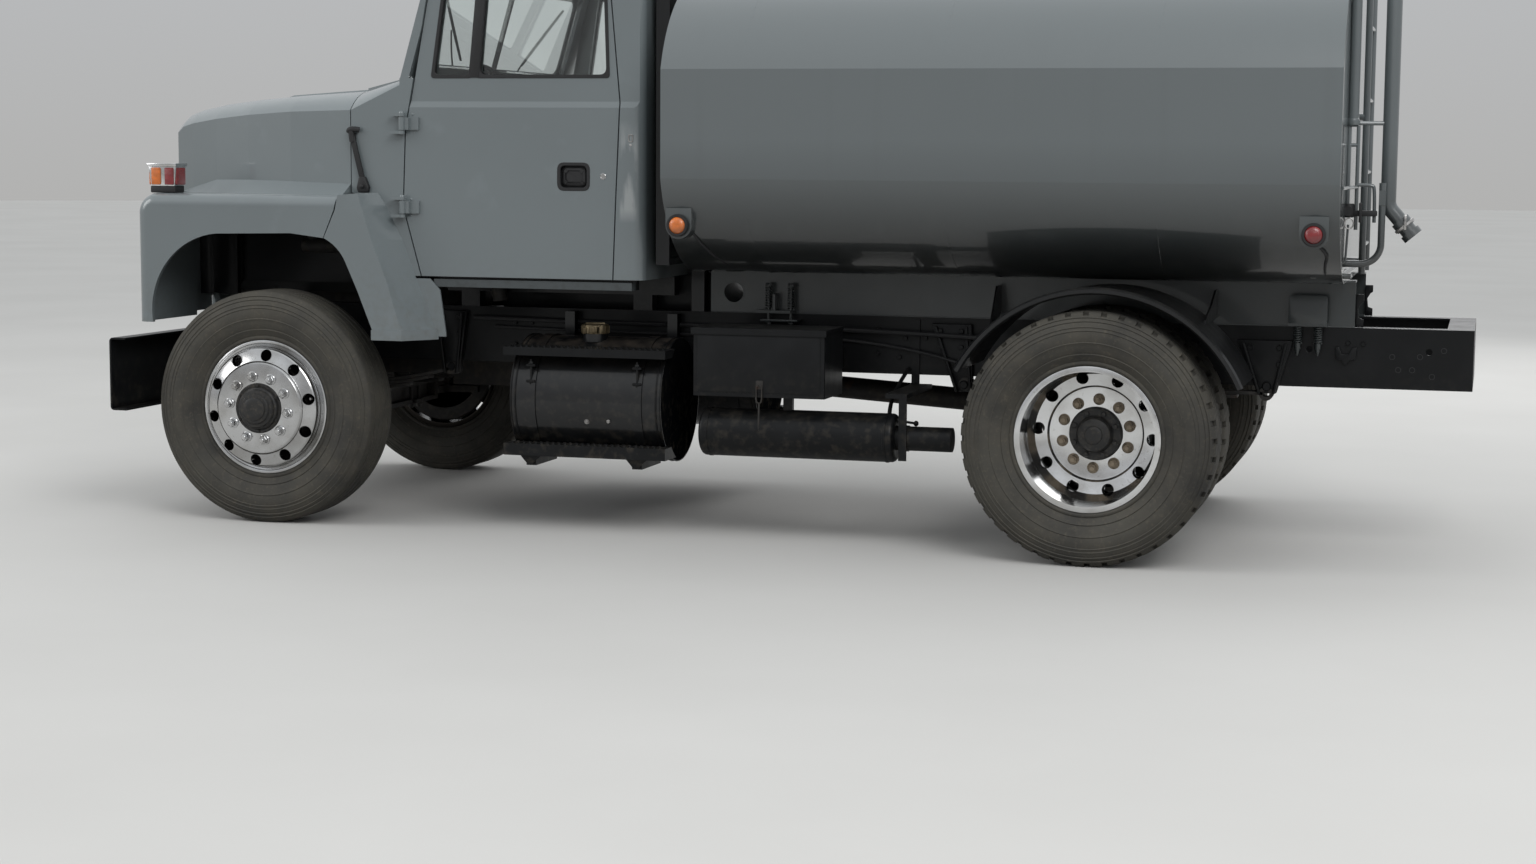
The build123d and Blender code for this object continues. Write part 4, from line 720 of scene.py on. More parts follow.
# Tyres, wheels and hubs
FRONT_WHEEL = (2.235, 1.0, 0.52)
REAR_WHEEL = (-1.465, 1.08, 0.52)
REAR_INNER_Y = 0.746
RIBS = (0.026, 0.068)
SHOULDER_RADIUS = 0.504
LUG_SHRINK = 0.974
HAND_HOLE_CIRCLE = 0.237
NUT_CIRCLE = 0.143
SIDEWALL_LINES = (0.347, 0.395, 0.444, 0.4585, 0.481, 0.4965)
LINE_HALF = 0.0035
LINE_HEIGHT = 0.0023


def tyre_half():
    """Rings of the outer half of a tyre's skin, from the bead out to the tread's middle."""
    side = [
        (0.2875, 0.095), (0.3015, 0.0995), (0.304, 0.106), (0.309, 0.1085), (0.315, 0.108), (0.319, 0.105),
        (0.335, 0.116), (0.36, 0.127), (0.38, 0.1335), (0.41, 0.139), (0.43, 0.1392), (0.47, 0.1345),
        (0.49, 0.1265), (0.503, 0.1205), (0.511, 0.1155),
    ]
    rings = []
    for (low, low_y), (high, high_y) in zip(side, side[1:]):
        rings.append((low, low_y))
        for line in SIDEWALL_LINES:
            if low < line < high:
                level = low_y + (line - low) / (high - low) * (high_y - low_y)
                rings += [(line - LINE_HALF, level), (line, level + LINE_HEIGHT), (line + LINE_HALF, level)]
    rings += [side[-1], (0.516, 0.11), (0.5188, 0.102)]
    for rib in reversed(RIBS):
        rings += [(0.52, rib + 0.005), (0.509, rib + 0.003), (0.509, rib - 0.003), (0.52, rib - 0.005)]
    return rings


def tyre_shape(sides, lugs):
    """One tyre about Z; lugs notches its shoulders every so many sides."""
    half = tyre_half()
    skin = half + [(radius, -level) for radius, level in reversed(half)]
    tyre = turned(skin, sides, tube=True)
    if lugs:
        open_mesh(tyre)
        step = math.tau / sides

        def between_lugs(middle, _):
            radius = math.hypot(middle.x, middle.y)
            column = round(math.atan2(middle.y, middle.x) / step - 0.5) % sides
            return radius > SHOULDER_RADIUS and abs(middle.z) > RIBS[1] + 0.006 and column % lugs == 0

        choose(between_lugs)
        bpy.ops.mesh.extrude_region_move()
        bpy.ops.transform.resize(value=(LUG_SHRINK, LUG_SHRINK, 1), center_override=NOTHING)
        tyre = close_mesh()
    return tyre


def wheel_shape(face, hole_turn):
    """A polished disc wheel about Z, its disc bulging up, with ten hand holes cut."""
    rings = (
        (0.275, -0.105), (0.2925, -0.105), (0.2985, -0.1032), (0.3, -0.0995), (0.2975, -0.0972),
        (0.287, -0.0945),
        (0.287, 0.0945), (0.2975, 0.0972), (0.3, 0.0995), (0.2985, 0.1032), (0.2925, 0.105), (0.2868, 0.1035),
        (0.2835, 0.0985), (0.2765, 0.0965), (0.2755, 0.102), (0.2735, 0.108), (0.2695, 0.1125),
        (0.267, 0.1245),
        (0.2635, 0.133), (0.258, 0.138), (0.214, 0.15), (0.209, 0.1535), (0.205, 0.161), (0.2, 0.1655),
        (0.191, 0.167), (0.112, 0.167), (0.11, 0.165), (0.11, 0.1475), (0.112, 0.1455), (0.184, 0.145),
        (0.193, 0.1425), (0.201, 0.131), (0.25, 0.117), (0.262, 0.1), (0.275, 0.075),
    )
    wheel = turned(rings, 120, tube=True)
    cutter = turned(((0.0255, 0.09), (0.0255, 0.1375), (0.0285, 0.165)), 24)
    holes = []
    for index in range(10):
        angle = math.radians(face * hole_turn + 36 * index)
        holes.append(Matrix.Translation((HAND_HOLE_CIRCLE * math.cos(angle),
                                         HAND_HOLE_CIRCLE * math.sin(angle), 0)))
    cutter = spread(cutter, holes)
    cut = wheel.modifiers.new("hand_holes", "BOOLEAN")
    cut.object = cutter
    cut.solver = "EXACT"
    alone(wheel)
    bpy.ops.object.modifier_apply(modifier="hand_holes")
    bpy.data.objects.remove(cutter)
    if face < 0:
        moved(wheel, Matrix.Rotation(math.pi, 4, "X"))
    return wheel


def wheel_nuts(turn):
    """Ten flanged nuts on their studs, standing on Z = 0."""
    nut = joined(
        turned(((0.024, 0), (0.024, 0.004), (0.0205, 0.0065)), 18),
        turned(((0.019, 0.006), (0.019, 0.021), (0.0165, 0.0245)), 6),
        turned(((0.0108, 0.02), (0.0108, 0.034), (0.009, 0.036)), 12),
    )
    spots = []
    for index in range(10):
        angle = math.radians(turn + 36 * index)
        spots.append(on((NUT_CIRCLE * math.cos(angle), NUT_CIRCLE * math.sin(angle), 0), turn=23.0 * index))
    return spread(nut, spots)


def settle_wheel(piece, name, finish, body, smooth, node):
    """A wheel's piece on each side, in place of that side's node."""
    for side_piece, side_name in zip(settle_both(piece, name, finish, body, smooth), SIDES):
        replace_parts(side_piece, f"{node}_{side_name}")


front_tyre = placed(tyre_shape(108, 0), FRONT_WHEEL)
rear_tyre = tyre_shape(132, 3)
rear_tyres = spread(rear_tyre,
                    [on(REAR_WHEEL, ACROSS), on((REAR_WHEEL[0], REAR_INNER_Y, REAR_WHEEL[2]), ACROSS, 4)])
settle_wheel(front_tyre, "front_tyre", TYRE, "front_wheel_left", 28, "tyre_front")
settle_wheel(rear_tyres, "rear_twin_tyres", TYRE, "rear_wheels_left", 28, "tyres_rear")

FRONT_HOLE_TURN = 11
REAR_HOLE_TURN = 32
SEAT_GAP = 0.00015
front_wheel = placed(wheel_shape(1, FRONT_HOLE_TURN), FRONT_WHEEL)
rear_outer = placed(wheel_shape(-1, REAR_HOLE_TURN), (REAR_WHEEL[0], REAR_WHEEL[1] + SEAT_GAP, REAR_WHEEL[2]))
rear_inner = placed(wheel_shape(1, REAR_HOLE_TURN), (REAR_WHEEL[0], REAR_INNER_Y - SEAT_GAP, REAR_WHEEL[2]))
rear_wheels = joined(rear_outer, rear_inner)
settle_wheel(front_wheel, "front_disc_wheel", POLISHED, "front_wheel_left", 24, "wheel_front")
settle_wheel(rear_wheels, "rear_twin_disc_wheels", POLISHED, "rear_wheels_left", 24, "wheels_rear")

FRONT_FACE = (FRONT_WHEEL[0], 1.167, FRONT_WHEEL[2])
REAR_FACE = (REAR_WHEEL[0], 0.935, REAR_WHEEL[2])
settle_both(placed(wheel_nuts(FRONT_HOLE_TURN + 18), FRONT_FACE), "front_wheel_nuts", POLISHED,
            "front_wheel_left")
settle_both(placed(wheel_nuts(REAR_HOLE_TURN + 18), REAR_FACE), "rear_wheel_nuts", DUSTY_STEEL,
            "rear_wheels_left")

front_hub = turned(
    (
        (0.0401, 1.189), (0.0401, 0.93), (0.072, 0.93), (0.072, 1.1), (0.191, 1.1), (0.191, 0.92),
        (0.205, 0.92),
        (0.205, 1.122), (0.165, 1.122), (0.165, 1.1427), (0.1097, 1.1427), (0.1097, 1.169), (0.107, 1.172),
        (0.1, 1.172), (0.096, 1.1705), (0.094, 1.1765), (0.0905, 1.181), (0.086, 1.183), (0.084, 1.195),
        (0.081, 1.199), (0.069, 1.201), (0.067, 1.206), (0.064, 1.209), (0.052, 1.2105), (0.0505, 1.2145),
        (0.047, 1.2165), (0.03, 1.217),
    ),
    64,
)
rear_hub = turned(
    (
        (0.0601, 0.997), (0.0601, 0.65), (0.088, 0.65), (0.088, 0.848), (0.191, 0.848), (0.191, 0.645),
        (0.205, 0.645), (0.205, 0.869), (0.165, 0.869), (0.165, 0.8907), (0.1097, 0.8907), (0.1097, 0.946),
        (0.107, 0.9485), (0.1065, 0.96), (0.1035, 0.9625), (0.078, 0.963), (0.074, 0.967), (0.071, 0.99),
        (0.066, 1.001), (0.056, 1.006), (0.038, 1.0085), (0.036, 1.014), (0.032, 1.016), (0.02, 1.0165),
    ),
    64,
)
placed(front_hub, (FRONT_WHEEL[0], 0, FRONT_WHEEL[2]))
settle_wheel(front_hub, "front_oil_cap_hub", HUB_BLACK, "front_wheel_left", 30, "hub_front")
placed(rear_hub, (REAR_WHEEL[0], 0, REAR_WHEEL[2]))
settle_wheel(rear_hub, "rear_flanged_hub", HUB_BLACK, "rear_wheels_left", 30, "hub_rear")


def hub_bolts(count, circle, level, radius, centre):
    """Bolts in a ring on the face of a hub."""
    places = []
    for index in range(count):
        angle = math.radians(360 * (index + 0.5) / count)
        places.append((centre[0] + circle * math.cos(angle), level, centre[2] + circle * math.sin(angle)))
    return bolt_heads(places, ACROSS, radius)


settle_both(hub_bolts(6, 0.1015, 1.1715, 0.0065, FRONT_WHEEL), "oil_cap_bolts", HUB_BLACK, "front_wheel_left")
settle_both(hub_bolts(8, 0.091, 0.9625, 0.0115, REAR_WHEEL), "axle_flange_bolts", HUB_BLACK,
            "rear_wheels_left")

VALVE_TURN = math.radians(FRONT_HOLE_TURN)
valve_x = FRONT_WHEEL[0] - HAND_HOLE_CIRCLE * math.cos(VALVE_TURN)
valve_z = FRONT_WHEEL[2] + HAND_HOLE_CIRCLE * math.sin(VALVE_TURN)
valve_stem = joined(
    pipe(((valve_x + 0.03, 1.075, valve_z), (valve_x + 0.008, 1.09, valve_z), (valve_x, 1.112, valve_z)),
         0.004, True),
    turned_at(((0.0052, 0), (0.006, 0.002), (0.006, 0.015), (0.0045, 0.018)), 12, (valve_x, 1.108, valve_z)),
)
settle_both(valve_stem, "valve_stem", STEEL, "front_wheel_left")

# Dust shields behind the brake drums, seen through the hand holes
shield_rings = ((0.075, 0), (0.254, 0), (0.262, 0.008), (0.262, 0.011), (0.252, 0.004), (0.075, 0.004))
front_shield = turned_at(shield_rings, 64, (FRONT_WHEEL[0], 0.9, FRONT_WHEEL[2]), tube=True)
settle_both(front_shield, "front_dust_shield", IRON, "knuckle_left")
rear_shield = turned_at(shield_rings, 64, (REAR_WHEEL[0], 0.622, REAR_WHEEL[2]), tube=True)
settle(both_sides(rear_shield), "rear_dust_shields", IRON)

# Brake chambers behind the front wheels and on the rear axle
brake_can = turned(
    ((0.05, 0), (0.07, 0.012), (0.074, 0.02), (0.074, 0.05), (0.082, 0.054), (0.082, 0.066), (0.074, 0.07),
     (0.074, 0.095), (0.066, 0.112), (0.03, 0.116)),
    32,
)
rear_can = copied(brake_can)
placed(rear_can, (REAR_WHEEL[0] - 0.17, 0.29, 0.6), (-1, 0, 0.35))
rear_can = both_sides(joined(rear_can,
                             block((REAR_WHEEL[0] - 0.2, 0.25, 0.5), (REAR_WHEEL[0] - 0.04, 0.33, 0.56))))
settle(rear_can, "rear_brake_chambers", IRON)
placed(brake_can, (FRONT_WHEEL[0] - 0.1, 0.76, 0.7), BACK)
arm = block((FRONT_WHEEL[0] - 0.13, 0.765, 0.595), (FRONT_WHEEL[0] - 0.02, 0.795, 0.69))
settle_both(joined(brake_can, arm), "front_brake_chamber", IRON, "knuckle_left")

# Cab and doors
DOOR_FACE = 1.002
DOOR_SKIN = 1.0098
VENT = ((1.458, 1.985), (1.392, 2.43), (1.238, 2.43), (1.282, 1.985))
WINDOW = ((1.246, 1.985), (1.202, 2.43), (0.662, 2.43), (0.648, 1.985))
SEAL_LAP = 0.008
SEAL_WIDTH = 0.015
for name, opening, corner in (("vent_seal", VENT, 0.018), ("window_seal", WINDOW, 0.03)):
    outer = rounded(offset_outline(opening, -SEAL_LAP), 0.016)
    inner = rounded(offset_outline(opening, SEAL_WIDTH - SEAL_LAP), corner)
    seal = frame_plate(outer, inner, DOOR_FACE - 0.022, DOOR_FACE + 0.0035, bevel=0.0015)
    settle_both(seal, name, RUBBER, "door_left")

divider = plate(
    ((1.286, 1.98), (1.242, 2.436), (1.198, 2.436), (1.242, 1.98)), DOOR_FACE - 0.001, DOOR_FACE + 0.005,
    bevel=0.0015
)
settle_both(divider, "window_divider", RUBBER, "door_left")

bezel = frame_plate(
    soft_oblong((0.728, 1.495), (0.878, 1.617), 0.032),
    soft_oblong((0.743, 1.509), (0.863, 1.603), 0.022),
    1.004,
    1.0125,
    bevel=0.002,
)
settle_both(bezel, "door_handle_bezel", RUBBER, "door_left")
tray = plate(soft_oblong((0.737, 1.503), (0.869, 1.609), 0.012), 0.9865, 0.9885, bevel=0.0004)
paddle = plate(soft_oblong((0.751, 1.517), (0.855, 1.595), 0.016), 0.9885, 1.0015, bevel=0.0035)
pressed(paddle, lambda middle, normal: normal.y > 0.9 and middle.y > 0.995, 0.012, (0, -0.006, 0))
settle_both(joined(tray, paddle), "door_handle_paddle", RUBBER, "door_left")

lock = turned(((0.0135, 0), (0.0135, 0.0015), (0.0115, 0.003), (0.0105, 0.003), (0.0095, 0.0022),
               (0.003, 0.0022)), 28)
settle_both(placed(lock, (0.668, DOOR_SKIN, 1.558)), "door_lock", POLISHED, "door_left")
striker_screws = turned(((0.0055, 0), (0.0055, 0.001), (0.004, 0.0022), (0.002, 0.0024)), 14)
screw_spots = [on((x, DOOR_SKIN, z), ACROSS)
               for x, z in ((1.545, 1.74), (1.55, 1.82), (1.56, 1.45), (1.563, 1.38))]
settle_both(spread(striker_screws, screw_spots), "door_hinge_screws", PAINT, "door_left")

pin_cap = turned(((0.0115, 0), (0.0115, 0.004), (0.008, 0.009), (0.004, 0.0095)), 20)
cap_spots = [on((1.59, 1.04, z + 0.0445)) for z in (1.416, 1.78)]
settle_both(spread(pin_cap, cap_spots), "hinge_pin_caps", PAINT)

# Drip rail over each door
drip = joined(
    block((0.5, 1.0085, 2.487), (1.44, 1.0125, 2.5), 0.0012),
    block((0.5, 0.99, 2.4865), (1.44, 1.012, 2.4895), 0.0008),
)
settle(both_sides(drip), "drip_rails", PAINT, smooth=30)

# Inner side of each door: trim, armrest, window crank and pull
door_card = plate(
    ((1.41, 1.2), (1.43, 1.41), (1.42, 1.74), (1.405, 1.95), (0.655, 1.95), (0.665, 1.2)), 0.936, 0.949,
    bevel=0.005
)
pressed(door_card, lambda middle, normal: normal.y < -0.9, 0.05, (0, 0.006, 0))
settle_both(door_card, "door_trim", TRIM, "door_left")
armrest = block((0.75, 0.872, 1.59), (1.12, 0.944, 1.65), 0.016)
pull = pipe(((1.16, 0.942, 1.68), (1.16, 0.91, 1.7), (1.16, 0.91, 1.84), (1.16, 0.942, 1.86)), 0.009, True)
crank = joined(
    turned_at(((0.02, 0), (0.02, 0.012), (0.012, 0.02)), 20, (1.24, 0.942, 1.52), INWARDS),
    block((1.232, 0.912, 1.42), (1.248, 0.922, 1.53), 0.004),
    turned_at(((0.01, 0), (0.014, 0.01), (0.013, 0.03), (0.008, 0.035)), 16, (1.24, 0.92, 1.43), INWARDS),
)
settle_both(joined(armrest, pull, crank), "door_armrest_and_crank", TRIM, "door_left")

# Windshield and rear window seals, wipers
SCREEN_FOOT_X, SCREEN_FOOT_Z = 1.609, 1.978
SCREEN_HEAD_X, SCREEN_HEAD_Z = 1.461, 2.486
SCREEN_SLOPE = Vector((SCREEN_HEAD_X - SCREEN_FOOT_X, 0, SCREEN_HEAD_Z - SCREEN_FOOT_Z)).normalized()
SCREEN_OUT = Vector((SCREEN_SLOPE.z, 0, -SCREEN_SLOPE.x))
REAR_WINDOW_X = 0.485


def screen_point(height, across, out=0.0):
    """A place on the windshield frame's face."""
    share = (height - SCREEN_FOOT_Z) / (SCREEN_HEAD_Z - SCREEN_FOOT_Z)
    base = Vector((SCREEN_FOOT_X, 0, SCREEN_FOOT_Z)).lerp(Vector((SCREEN_HEAD_X, 0, SCREEN_HEAD_Z)), share)
    return base + Vector((0, across, 0)) + SCREEN_OUT * out


def on_screen(piece, sunk=0.0):
    """Lay a piece made upright at X = 0 along the windshield's slope."""
    open_mesh(piece)
    for vertex in bmesh.from_edit_mesh(piece.data).verts:
        vertex.co = screen_point(vertex.co.z, vertex.co.y, vertex.co.x - sunk)
    bmesh.update_edit_mesh(piece.data)
    return close_mesh()


def screen_outline(margin, corner):
    low, high, half = 2.035 - margin, 2.425 + margin, 0.86 + margin
    return rounded(oblong((-half, low), (half, high)), corner)


seal = frame_plate(screen_outline(0.014, 0.06), screen_outline(-0.016, 0.055), 0.0, 0.014, "X", 0.003)
settle(on_screen(seal, 0.009), "windshield_seal", RUBBER)
rear_seal = frame_plate(
    soft_oblong((-0.432, 1.948), (0.432, 2.372), 0.04),
    soft_oblong((-0.404, 1.976), (0.404, 2.344), 0.035),
    REAR_WINDOW_X - 0.007, REAR_WINDOW_X + 0.03, "X", 0.003,
)
settle(rear_seal, "rear_window_seal", RUBBER)
centre_bar = frame_plate(
    oblong((-0.008, 2.04), (0.008, 2.42)), oblong((-0.004, 2.044), (0.004, 2.416)), -0.02, 0.004, "X", 0.0
)
settle(on_screen(centre_bar), "windshield_bar", RUBBER)

wipers = []
for hub_y, tip_y in ((0.36, 0.74), (-0.36, -0.74)):
    hub_place = screen_point(1.992, hub_y, 0.004)
    arm_start = screen_point(1.996, hub_y, 0.03)
    arm_end = screen_point(2.2, (hub_y + tip_y) / 2, 0.02)
    blade_low = screen_point(2.075, hub_y + (tip_y - hub_y) * 0.05, 0.012)
    blade_high = screen_point(2.36, tip_y, 0.012)
    blade_middle = blade_low.lerp(blade_high, 0.5) + SCREEN_OUT * 0.006
    wipers += [
        turned_at(((0.016, 0), (0.016, 0.012), (0.012, 0.03), (0.007, 0.034)), 18, hub_place, SCREEN_OUT),
        pipe((arm_start, arm_start.lerp(arm_end, 0.4) + SCREEN_OUT * 0.012, arm_end), 0.004, True),
        pipe((blade_low, blade_middle, blade_high), 0.0045, True),
        pipe((blade_low - SCREEN_OUT * 0.005, blade_high - SCREEN_OUT * 0.005), 0.003),
    ]
settle(joined(*wipers), "wipers", RUBBER)

# Rims of the cowl's vent slots and the rubber hold-downs of the hood
vent_slots = [on((1.735, -0.36 + 0.09 * index, 1.9607), (0.158, 0, 0.987)) for index in range(9)]
slot_bar = frame_plate(
    soft_oblong((-0.045, -0.026), (0.045, 0.026), 0.012),
    soft_oblong((-0.038, -0.019), (0.038, 0.019), 0.008),
    0,
    0.0025,
    "Z",
    0.0006,
)
settle(spread(slot_bar, vent_slots), "cowl_vent_rims", PAINT)

latch_anchor = plate(
    ((1.757, 1.478), (1.806, 1.478), (1.812, 1.5), (1.8, 1.548), (1.772, 1.548), (1.753, 1.5)), 1.0095,
    1.036, bevel=0.006
)
latch_strap = plate(
    ((1.772, 1.53), (1.797, 1.53), (1.845, 1.722), (1.842, 1.74), (1.826, 1.74), (1.82, 1.722)), 1.018,
    1.032, bevel=0.004
)
latch_grip = pipe(((1.8, 1.022, 1.752), (1.826, 1.03, 1.757), (1.846, 1.03, 1.752), (1.8495, 1.024, 1.746)),
                  0.0125, True)
latch_neck = pipe(((1.832, 1.025, 1.7), (1.838, 1.027, 1.752)), 0.0135)
latch_pin = turned_at(((0.009, 0), (0.009, 0.012), (0.006, 0.015)), 14, (1.782, 1.034, 1.505))
latch_hook = plate(((1.82, 1.70), (1.844, 1.70), (1.844, 1.738), (1.82, 1.738)), 1.0095, 1.019, bevel=0.002)
settle(
    both_sides(joined(latch_anchor, latch_strap, latch_grip, latch_neck, latch_pin, latch_hook)),
    "hood_hold_downs",
    RUBBER,
    smooth=50,
)

# Small catch on the cab's rear corner, and clearance lamps on the roof
catch = joined(
    frame_plate(
        soft_oblong((0.532, 1.705), (0.554, 1.738), 0.005),
        soft_oblong((0.5365, 1.7095), (0.5495, 1.7335), 0.003),
        1.0092, 1.0122, bevel=0.0008,
    ),
    turned_at(((0.0052, 0), (0.0052, 0.002), (0.003, 0.003)), 14, (0.543, 1.0092, 1.693)),
)
settle_both(catch, "cab_corner_catch", STEEL)
clearance = joined(
    turned(((0.03, 0), (0.03, 0.006), (0.026, 0.009)), 24),
    turned(((0.022, 0.008), (0.021, 0.016), (0.014, 0.021), (0.006, 0.0225)), 24),
)
lamp_spots = [on((1.4995, y, 2.545), AHEAD) for y in (-0.78, -0.2, 0, 0.2, 0.78)]
settle(spread(clearance, lamp_spots), "roof_clearance_lamps", AMBER)

# Lamps and grille on the tilting hood
signal_body = plate(((2.664, 1.598), (2.804, 1.598), (2.792, 1.497), (2.674, 1.497)), 1.0, 1.09, bevel=0.004)
signal_cap = block((2.661, 0.991, 1.585), (2.8075, 1.0985, 1.5995), 0.004)
signal_housing = joined(signal_body, signal_cap)
signal_foot = block((2.672, 1.002, 1.4675), (2.796, 1.088, 1.4985), 0.005)
signal_lenses = []
for side_x, end_low, end_high in ((2.742, 2.79, 2.803), (2.676, 2.664, 2.676)):
    side_lens = plate(soft_oblong((side_x, 1.503), (side_x + 0.044, 1.58), 0.006), 1.086, 1.0975, bevel=0.003)
    end_lens = plate(soft_oblong((1.005, 1.503), (1.085, 1.58), 0.006), end_low, end_high, "X", bevel=0.003)
    signal_lenses.append(joined(side_lens, end_lens))
for piece, name, finish in (
    (signal_housing, "turn_signal_housing", CHROME),
    (signal_foot, "turn_signal_foot", RUBBER),
    (signal_lenses[0], "turn_signal_amber_lenses", AMBER),
    (signal_lenses[1], "turn_signal_red_lenses", RED),
):
    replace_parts(settle(both_sides(piece), name, finish, "hood"), "turn_signals")

LAMP_LOW, LAMP_HIGH, LAMP_MIDDLE = (0.72, 1.09), (1.06, 1.26), 0.89
lamp_frames, lamp_lenses, lamp_bowls = [], [], []
for low_y, high_y in ((LAMP_LOW[0], LAMP_MIDDLE), (LAMP_MIDDLE, LAMP_HIGH[0])):
    edge = oblong((low_y + 0.004, LAMP_LOW[1] + 0.004), (high_y - 0.004, LAMP_HIGH[1] - 0.004))
    opening = oblong((low_y + 0.016, LAMP_LOW[1] + 0.018), (high_y - 0.016, LAMP_HIGH[1] - 0.018))
    lamp_frames.append(frame_plate(rounded(edge, 0.014), rounded(opening, 0.01), 2.842, 2.862, "X", 0.002))
    lamp_bowls.append(plate(rounded(opening, 0.01), 2.8385, 2.842, "X", 0.0008))
    lens_glass = plate(rounded(offset_outline(opening, 0.0008), 0.01), 2.8445, 2.854, "X", 0.002)
    open_mesh(lens_glass)
    bpy.ops.mesh.bisect(plane_co=(0, (low_y + high_y) / 2, 0), plane_no=(0, 1, 0))
    lamp_lenses.append(close_mesh())
for piece, name, finish in (
    (joined(*lamp_frames), "headlamp_bezels", CHROME),
    (joined(*lamp_bowls), "headlamp_reflectors", CHROME),
    (joined(*lamp_lenses), "headlamp_lenses", CLEAR_LENS),
):
    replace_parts(settle(both_sides(piece), name, finish, "hood"), "headlamps")

grille_rim = frame_plate(
    soft_oblong((-0.54, 0.972), (0.54, 1.678), 0.03),
    soft_oblong((-0.518, 0.994), (0.518, 1.656), 0.02),
    2.8865,
    2.9005,
    "X",
    0.003,
)
settle(grille_rim, "grille_rim", CHROME, "hood")
grille_sides = block((2.79, 0.5205, 0.985), (2.8865, 0.5245, 1.665), 0.001)
settle(both_sides(grille_sides), "grille_side_panels", FRAME_BLACK, "hood")
mesh_wires = [pipe(((2.8845, y, 1.0), (2.8845, y, 1.65)), 0.0016, sides=1) for y in spaced(-0.48, 0.48, 17)]
settle(joined(*mesh_wires), "grille_bars", FRAME_BLACK, "hood")

# Rubber stops that the closed hood rests on
stop = turned(((0.016, 0), (0.018, 0.006), (0.016, 0.016), (0.009, 0.02)), 20)
settle(spread(stop, [on((2.15, y, 1.4505)) for y in (-0.3, 0.3)]), "hood_rest_stops", RUBBER)

# Splash shields inside the front arches, and the radiator's baffles
shield = plate(
    ((1.72, 0.96), (2.05, 1.0), (2.72, 1.0), (2.72, 1.36), (1.76, 1.42)), 0.43, 0.436, bevel=0.0015
)
pressed(shield, lambda middle, normal: normal.y > 0.9, 0.05, (0, 0.008, 0))
shield_stays = joined(
    block((1.86, 0.41, 0.945), (1.9, 0.445, 1.05), 0.003),
    block((2.48, 0.41, 0.945), (2.52, 0.445, 1.05), 0.003),
)
settle(both_sides(joined(shield, shield_stays)), "splash_shields", FRAME_BLACK)
baffle = plate(((2.705, 0.97), (2.872, 0.99), (2.872, 1.6), (2.705, 1.62)), 0.438, 0.442, bevel=0.001)
baffle_lips = block((2.7, 0.425, 0.98), (2.708, 0.46, 1.59), 0.001)
settle(both_sides(joined(baffle, baffle_lips)), "radiator_baffles", FRAME_BLACK)

# Engine dressing seen under the open hood
covers = []
for index in range(3):
    x = 1.2 + 0.45 * index
    cover = block((x, -0.17, 1.447), (x + 0.4, 0.17, 1.53), 0.0)
    open_mesh(cover)
    choose(lambda middle, normal: normal.z > 0.9)
    bpy.ops.transform.resize(value=(0.9, 0.8, 1))
    bpy.ops.mesh.inset(thickness=0.02)
    bpy.ops.mesh.extrude_region_move(TRANSFORM_OT_translate={"value": (0, 0, 0.008)})
    covers.append(bevelled(close_mesh(), 0.006))
settle(joined(*covers), "valve_covers", IRON)
cover_bolts = [(1.24 + 0.45 * i + 0.32 * j, y, 1.5385) for i in range(3) for j in (0, 1)
               for y in (-0.04, 0.04)]
settle(bolt_heads(cover_bolts, UP, 0.008), "valve_cover_bolts", STEEL)

fan_hub = turned(((0.075, 0), (0.075, 0.012), (0.045, 0.02), (0.045, 0.035), (0.02, 0.037)), 32)
placed(fan_hub, (2.565, 0, 1.28), AHEAD)
fan_blades = []
for index in range(8):
    blade = plate(((-0.035, 0.06), (0.035, 0.06), (0.055, 0.27), (-0.05, 0.275)), -0.0015, 0.0015,
                  bevel=0.0005)
    turn = turn_about("X", 45 * index)
    tilt = turn_about("Z", 90) @ turn_about("Z", 24)
    fan_blades.append(moved(blade, Matrix.Translation((2.585, 0, 1.28)) @ turn @ tilt))
settle(joined(fan_hub, *fan_blades), "radiator_fan", FRAME_BLACK)

upper_hose = pipe(
    ((2.64, 0.26, 1.61), (2.6, 0.27, 1.655), (2.5, 0.24, 1.66), (2.42, 0.2, 1.6), (2.38, 0.2, 1.46)), 0.03,
    True, 5
)
lower_hose = pipe(((2.63, -0.3, 1.02), (2.56, -0.36, 1.0), (2.48, -0.43, 1.02), (2.4, -0.41, 1.06)), 0.032,
                  True, 5)
intake = pipe(((2.1, -0.26, 1.43), (2.1, -0.3, 1.55), (1.95, -0.33, 1.6), (1.86, -0.34, 1.6)), 0.055, True, 6)
settle(joined(upper_hose, lower_hose), "coolant_hoses", RUBBER)
air_cleaner = turned(((0.1, 0), (0.13, 0.01), (0.135, 0.03), (0.135, 0.24), (0.13, 0.26), (0.09, 0.27),
                      (0.05, 0.275)), 40)
placed(air_cleaner, (1.87, -0.33, 1.6), BACK)
manifold = joined(*[
    pipe(((x, 0.42, 1.3), (x, 0.47, 1.3), (x, 0.48, 1.25), (x - 0.03, 0.48, 1.22)), 0.024, True, 4)
    for x in spaced(1.5, 2.3, 6)
])
manifold_log = pipe(((2.34, 0.48, 1.22), (1.46, 0.48, 1.22), (1.38, 0.47, 1.15), (1.36, 0.47, 0.98)), 0.035,
                    True, 6)
settle(air_cleaner, "air_cleaner", FRAME_BLACK)
settle(joined(intake, manifold, manifold_log), "exhaust_and_intake", IRON)

# Leaf springs, their clamps and hangers
FRONT_SPRING = {"x": 2.235, "half": 0.63, "crown": 0.585, "rise": 0.085, "leaves": 5, "thick": 0.0165}
REAR_SPRING = {"x": -1.465, "half": 0.65, "crown": 0.672, "rise": 0.0, "leaves": 4, "thick": 0.0155}


